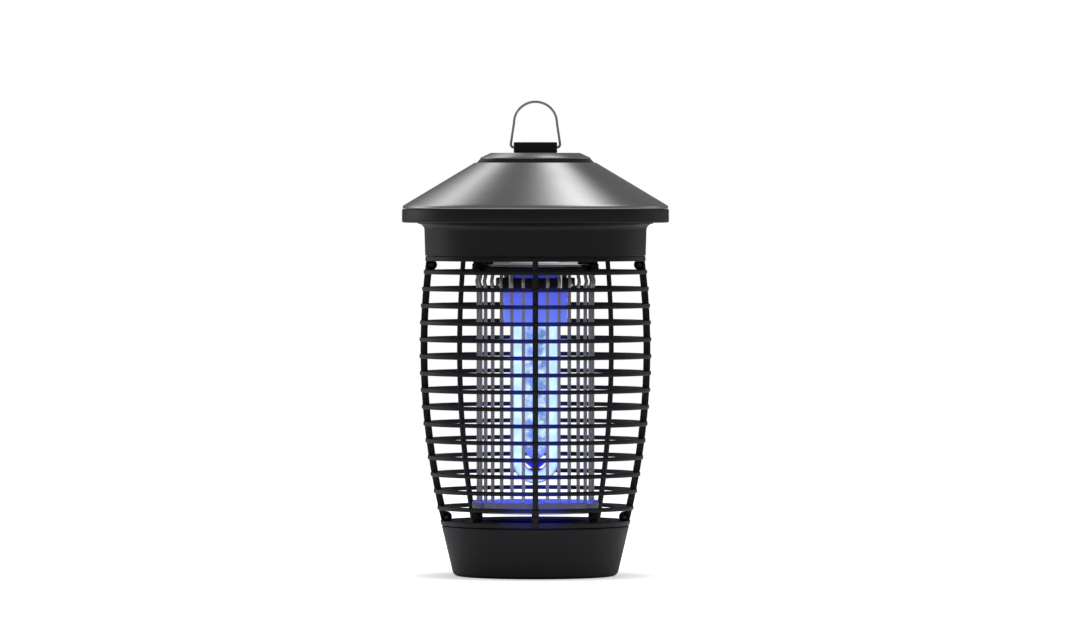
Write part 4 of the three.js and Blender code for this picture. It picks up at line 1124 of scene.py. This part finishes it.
def strap(outline, y, thickness):
    """A flat strap cut from sheet, standing in the XZ plane."""
    stand = Matrix.Translation((0, y * MM, 0)) @ Matrix.Rotation(math.radians(90), 4, "X")
    return plate(outline, -thickness / 2, thickness / 2, 0.2, place=stand)


def build_clip(name, node, hand):
    """A pressed strap in front of the holder, or behind it: a bar, two legs and two short drops."""
    lower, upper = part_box(node)
    half, (bottom, top) = upper[0] / MM, span(node)
    sheet, leg, leg_place, foot_depth = 1.2, 2.8, 20.4, 6.0
    y = (lower[1] if hand < 0 else upper[1]) / MM - hand * sheet / 2
    bar_top, bar_bottom = top - 5.0, top - 5.0 - 3.6
    drop = bar_bottom - 4.2
    near, far = leg_place - leg / 2, leg_place + leg / 2
    right = [
        (near, bar_bottom, 0.8), (near, bottom, 0.8), (far, bottom, 0.8), (far, bar_bottom, 0.8),
        (half - leg, bar_bottom, 0.8), (half - leg, drop, 0.6), (half, drop, 0.6), (half, bar_top, 0.9),
        (far, bar_top, 0.4), (far, top, 0.2), (near, top, 0.2), (near, bar_top, 0.4)
    ]
    left = [(-x, height, soft) for x, height, soft in reversed(right)]
    meshes = [strap(filleted(left[5:] + right + left[:5], 3), y, sheet)]
    for side in (-1, 1):
        place = (side * leg_place, y - hand * (foot_depth - sheet) / 2, top - sheet / 2)
        meshes.append(block((leg, foot_depth, sheet), place, 0.25, 2))
    rivet = filleted([(0, -0.5, 0), (1.35, -0.5, 0), (1.35, 0.2, 0.3), (0.8, 0.75, 0.3), (0, 0.85, 0)])
    face = y + hand * (sheet / 2 - 1.0)
    places = [(x, face, 240.0) for x in (-29.3, -10.2, 10.2, 29.3)]
    turn = (math.radians(90 if hand < 0 else -90), 0, 0)
    meshes.append(fixed_at(turned(rivet, 20), places, turn, STRAP_STEEL))
    made(name, meshes, STRAP_STEEL, "housing", [node])


# ---------------------------------------------------------------- collar, roof, bail


def build_collar():
    """An upright wall that flares in a cove to the rim, with four screw bosses inside."""
    bottom, top = span("collar")
    wide, cove, wall, boss_place = high("collar", 0), 5.5, 3.0, 78
    outer = wide - cove
    inner = outer - wall
    foot = top - 0.6 - cove
    angles = [math.pi - math.pi / 2 * k / 10 for k in range(11)]
    outline = filleted([(inner, bottom, 0.4), (outer - 0.9, bottom, 0.2), (outer, bottom + 0.9, 0.4)])
    outline += [Vector((outer + cove + cove * math.cos(a), foot + cove * math.sin(a))) for a in angles]
    outline += [Vector((wide, top)), Vector((inner, top))]
    meshes = [cut(turned(outline), bore(7.0, -12, 12, 40, along_y(0, CORD_HEIGHT, inner + 2)))]
    boss = turned(disc_outline(5, bottom + 2.9, bottom + 16.9, 0.3, 0.5), 28)
    web_size = (inner - boss_place + 1.0, 2.4, 14)
    for turn in (45, 135, 225, 315):
        spin = Matrix.Rotation(math.radians(turn), 4, "Z")
        web = block(web_size, ((inner + boss_place) / 2 + 0.5, 0, bottom + 9.9), 0.3, 2)
        meshes += [moved(boss, spin @ at(boss_place, 0)), moved(web, spin)]
    made("collar_moulding", meshes, SATIN_BLACK, "housing", ["collar"])


CORD_HEIGHT = (low("cord_bush") + high("cord_bush")) / 2


def build_cord_bush():
    inner_y, outer_y = low("cord_bush", 1), high("cord_bush", 1)
    length, hole, barrel, head = outer_y - inner_y, 3.6, 6.5, 8.3
    outline = filleted([
        (hole, 0, 0.3), (barrel, 0, 0.4), (barrel, length - 2.0, 0.2), (head, length - 2.0, 0.4),
        (head, length - 0.7, 0.6), (5.6, length, 0.6), (hole, length, 0.5)
    ])
    shell = turned(outline, 48, place=along_y(0, CORD_HEIGHT, inner_y))
    made("cord_bush_rubber", shell, BLACK_RUBBER, "housing", ["cord_bush"])


SEAT = 0.27  # how far a seal reaches into the gap at each of its faces


def build_roof():
    (bottom, top), wide = span("roof_rim"), high("roof_rim", 0)
    inner, wall = high("collar", 0) - 7.0, 3.0
    outline = filleted([
        (inner, bottom, 0.4), (wide, bottom, 1.3), (wide, top, 1.1), (wide - wall, top, 0.4),
        (wide - wall, bottom + wall, 0.8), (inner, bottom + wall, 0.4)
    ])
    made("rim_moulding", turned(outline, 192), SATIN_BLACK, "housing", ["roof_rim"])

    (foot, peak), edge = span("roof_cone"), high("roof_cone", 0)
    crown, sheet = 49.9, 1.2
    outline = filleted(
        [
            (0, peak, 0), (crown, peak, 1.4), (edge - 2.2, foot + 3.6, 3.0), (edge - 0.1, foot + 2.2, 0.5),
            (edge, foot + 1.1, 0.5), (edge - 0.1, foot, 0.4), (edge - 1.2, foot, 0.3),
            (edge - 1.3, foot + 1.5, 0.3), (crown - 0.6, peak - sheet, 1.0), (0, peak - sheet, 0)
        ], 6
    )
    made("cone_sheet", turned(outline, 256), ROOF_STEEL, "housing", ["roof_cone"])

    (bottom, top), wide = span("cap_gasket"), high("cap_gasket", 0)
    bottom, top = bottom - SEAT, top + SEAT
    # It meets the cone and the cap with no light between, and carries on the cone's slope.
    outline = filleted([(0, bottom, 0), (wide + 4.4, bottom, 0.1), (wide + 1.4, top, 0.1), (0, top, 0)])
    made("gasket_disc", turned(outline, 128), SHADED_NECK_STEEL, "housing", ["cap_gasket"])

    (bottom, top), wide = span("roof_cap"), high("roof_cap", 0)
    bevel = [(wide, bottom + 0.8, 0.3), (wide - 8.7, top, 1.2)]
    outline = filleted([(0, bottom, 0), (wide, bottom, 0.25), *bevel, (0, top, 0)])
    made("cap_sheet", turned(outline, 192), ROOF_STEEL, "housing", ["roof_cap"])


def build_bracket():
    """The block that the bail's two feet turn in."""
    bottom, top = span("bail_bracket")
    body = rounded_block("bail_bracket", 2.5, 6, bottom - SEAT, top, 0.9)
    pivot = bottom + (top - bottom) / 2
    holes = []
    for hand in (-1, 1):
        place = Vector((hand * (high("bail_bracket", 0) - 1.5), 0, pivot)) * MM
        turn = Matrix.Rotation(math.radians(90), 4, "Y")
        holes.append(moved(bore(1.35, -3.4, 3.4, 24), Matrix.Translation(place) @ turn))
    made("bracket_block", cut(body, *holes), GLOSS_BLACK, "housing", ["bail_bracket"])


def build_bail():
    """Round wire: a turned-in foot, a leaning leg, half a circle, and back."""
    wire = 1.0
    pivot, crest = low("hanging_bail") + wire, high("hanging_bail") - wire
    arch, spread, foot_end, bend = 17.7, high("hanging_bail", 0) - wire, 14.4, 2.6
    foot_steps, bend_steps, leg_steps, arch_steps = 3, 8, 12, 24
    centre = crest - arch
    half = [(foot_end + (spread - bend - foot_end) * i / foot_steps, pivot) for i in range(foot_steps + 1)]
    for k in range(1, bend_steps + 1):
        a = math.pi / 2 * k / bend_steps
        half.append((spread - bend + bend * math.sin(a), pivot + bend - bend * math.cos(a)))
    for i in range(1, leg_steps):
        rise = (centre - pivot - bend) * i / leg_steps
        half.append((spread + (arch - spread) * i / leg_steps, pivot + bend + rise))
    for k in range(arch_steps):
        a = math.pi / 2 * k / arch_steps
        half.append((arch * math.cos(a), centre + arch * math.sin(a)))
    points = [(-x, 0, z) for x, z in half] + [(0, 0, crest)] + [(x, 0, z) for x, z in reversed(half)]
    made(
        "bail_wire", swept(points, circle(wire, 20)), BRIGHT_STEEL, "bail", ["hanging_bail"]
    )


# ---------------------------------------------------------------- deck, screws and what stands on the deck


def build_deck():
    """The plate that closes the collar, with the pillars that the circuit board stands on."""
    bottom, peak, radius = low("deck"), high("deck"), high("deck", 0)
    top = bottom + 2.6
    meshes = [turned(disc_outline(radius, bottom, top, 0.4), 128)]
    pillar = turned(disc_outline(3, top - 1, peak, 0, 0.4), 24)
    meshes += [moved(pillar, at(x, y)) for x in (-43, 43) for y in (-26, 26)]
    meshes.append(turned(ring_outline(62, 64, bottom + 0.3, bottom + 1.0, 0.2), 96))
    made("deck_moulding", meshes, INNER_BLACK, "housing", ["deck"])


def dress_inner_parts():
    """Pieces that the roof hides keep their frame shape and take a real finish."""
    finishes = {"lamp_cap": BRIGHT_STEEL, "circuit_board": BOARD, "transformer": COPPER, "choke": COPPER}
    finishes.update({f"capacitor_{i}": FILM for i in (1, 2, 3)})
    finishes.update({f"bracket_screw_{i}": BRIGHT_STEEL for i in (1, 2)})
    for node, finish in finishes.items():
        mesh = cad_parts[node].data
        mesh.materials.clear()
        mesh.materials.append(finish)


build_tray()
build_lock_ring()
build_floor()
build_guard_half("guard_front_half", "guard_front", True)
build_guard_half("guard_rear_half", "guard_rear", False)
build_guard_screws()
build_rods("upper_rods", "grid_rods_upper", 0, True)
build_rods("lower_rods", "grid_rods_lower", 1, False)
build_insulator("upper_insulator_ring", "upper_insulator", INNER_BLACK)
build_insulator("lower_insulator_ring", "lower_insulator", CERAMIC)
build_standoffs()
build_hung_screws("standoff_screws", four("standoff_screw"), pan_screw(3.0, 1.6, 1.5, 10.0), 9)
build_lamp()
build_holder()
build_clip("front_strap", "lamp_clip_front", -1)
build_clip("rear_strap", "lamp_clip_rear", 1)
build_collar()
build_cord_bush()
build_roof()
build_bracket()
build_bail()
build_deck()
build_hung_screws("deck_screws", four("deck_screw"), pan_screw(3.0, 1.8, 1.6, 14.0), 5)
dress_inner_parts()

# ---------------------------------------------------------------- floor, light and camera

EYE_HEIGHT = 338.0
EYE_DISTANCE = 7200.0
SENSOR = 36.0  # width of the camera's sensor
VIEW_WIDTH = 893.2  # seen across at the object
VIEW_SIDE = 5.4
VIEW_HEIGHT = 209.3
STUDIO_LEVEL = 0.15
STUDIO_LOBES = (  # direction, sharpness, strength
    ((0.200, 0.505, 0.840), 85.0, 1.28),
    ((-0.288, 0.713, 0.640), 75.0, 0.70),
    ((-0.249, 0.856, 0.453), 60.0, 0.20),
    ((-0.85, 0.52, 0.05), 20.0, 0.70),
    ((0.85, 0.52, 0.05), 20.0, 0.22),
)


def build_stage():
    mesh = bpy.data.meshes.new("floor")
    reach = 2.5
    mesh.from_pydata(
        [(-reach, -reach, 0), (reach, -reach, 0), (reach, reach, 0), (-reach, reach, 0)], [], [(0, 1, 2, 3)]
    )
    material, tree, shader = bare_material("pale_floor", Roughness=0.7)
    place = place_on(tree)
    feed(tree, shader, Base_Color=mixed(tree, noise(tree, place, 60.0), grey(0.90), grey(0.94)))
    x, y, _ = parts_of(tree, place)
    far = from_axis(tree, x, y)
    # Painted light: camera-seen emission whites the floor, weaker within 75 to 140 mm of the axis so the
    # contact shadow shows.
    bright = mixed(tree, ranged(tree, far, 0.075, 0.14), grey(0.5), grey(1.0))
    feed(tree, shader, Emission_Color=only_seen(tree, bright, grey(0.0)))
    shader.inputs["Emission Strength"].default_value = 1.0
    mesh.materials.append(material)
    floor = bpy.data.objects.new("floor", mesh)
    bpy.context.scene.collection.objects.link(floor)


def soft_light(name, place, target, size, power, colour=(1, 1, 1)):
    lamp = bpy.data.lights.new(name, "AREA")
    lamp.shape, lamp.size, lamp.energy, lamp.color = "DISK", size, power, colour
    light = bpy.data.objects.new(name, lamp)
    light.location = place
    light.rotation_mode = "QUATERNION"
    light.rotation_quaternion = (Vector(target) - Vector(place)).to_track_quat("-Z", "Y")
    bpy.context.scene.collection.objects.link(light)
    light.visible_camera = False
    return light


def build_lights():
    soft_light("overhead", (0.1, -0.1, 1.8), (0, 0, 0.1), 1.6, 16).visible_glossy = False
    for i, height in enumerate((0.10, 0.14, 0.18)):
        for side, turn in enumerate((45, 135, 225, 315)):
            glow = bpy.data.lights.new(f"tube_light_{i}_{side}", "POINT")
            glow.energy, glow.color, glow.shadow_soft_size = 0.055, (0.03, 0.08, 1.0), 0.004
            spot = bpy.data.objects.new(glow.name, glow)
            angle = math.radians(turn)
            spot.location = (0.024 * math.cos(angle), 0.024 * math.sin(angle), height)
            bpy.context.scene.collection.objects.link(spot)
            spot.visible_glossy = False


def lobe(tree, direction, towards, sharpness, strength):
    """A soft bright patch of the studio round one direction."""
    aim = Vector(towards).normalized()
    dot = put(
        tree, "ShaderNodeVectorMath", {0: direction, 1: tuple(aim)}, operation="DOT_PRODUCT"
    ).outputs["Value"]
    power = maths(tree, "EXPONENT", times(tree, less(tree, dot, 1.0), sharpness))
    return times(tree, power, strength)


def build_studio():
    world = bpy.data.worlds.new("studio")
    world.use_nodes = True
    tree = world.node_tree
    tree.nodes.clear()
    direction = put(tree, "ShaderNodeTexCoord").outputs["Generated"]
    total = STUDIO_LEVEL
    for towards, sharpness, strength in STUDIO_LOBES:
        total = plus(tree, total, lobe(tree, direction, towards, sharpness, strength))
    studio = put(tree, "ShaderNodeBackground", {"Color": grey(1.0), "Strength": total})
    backdrop = put(tree, "ShaderNodeBackground", {"Color": grey(1.0), "Strength": 1.0})
    seen = put(tree, "ShaderNodeLightPath").outputs["Is Camera Ray"]
    both = put(tree, "ShaderNodeMixShader", {0: seen, 1: studio.outputs[0], 2: backdrop.outputs[0]})
    put(tree, "ShaderNodeOutputWorld", {"Surface": both.outputs[0]})
    bpy.context.scene.world = world


def build_camera():
    data = bpy.data.cameras.new("camera")
    data.sensor_width, data.lens = SENSOR, SENSOR * EYE_DISTANCE / VIEW_WIDTH
    camera = bpy.data.objects.new("camera", data)
    bpy.context.scene.collection.objects.link(camera)
    target = Vector((VIEW_SIDE, 0, VIEW_HEIGHT)) * MM
    camera.location = Vector((VIEW_SIDE, -EYE_DISTANCE, EYE_HEIGHT)) * MM
    camera.rotation_mode = "QUATERNION"
    camera.rotation_quaternion = (target - camera.location).to_track_quat("-Z", "Y")
    data.clip_start, data.clip_end = 0.1, 20.0
    bpy.context.scene.camera = camera


build_stage()
build_lights()
build_studio()
build_camera()
bpy.context.scene.view_settings.view_transform = "Standard"
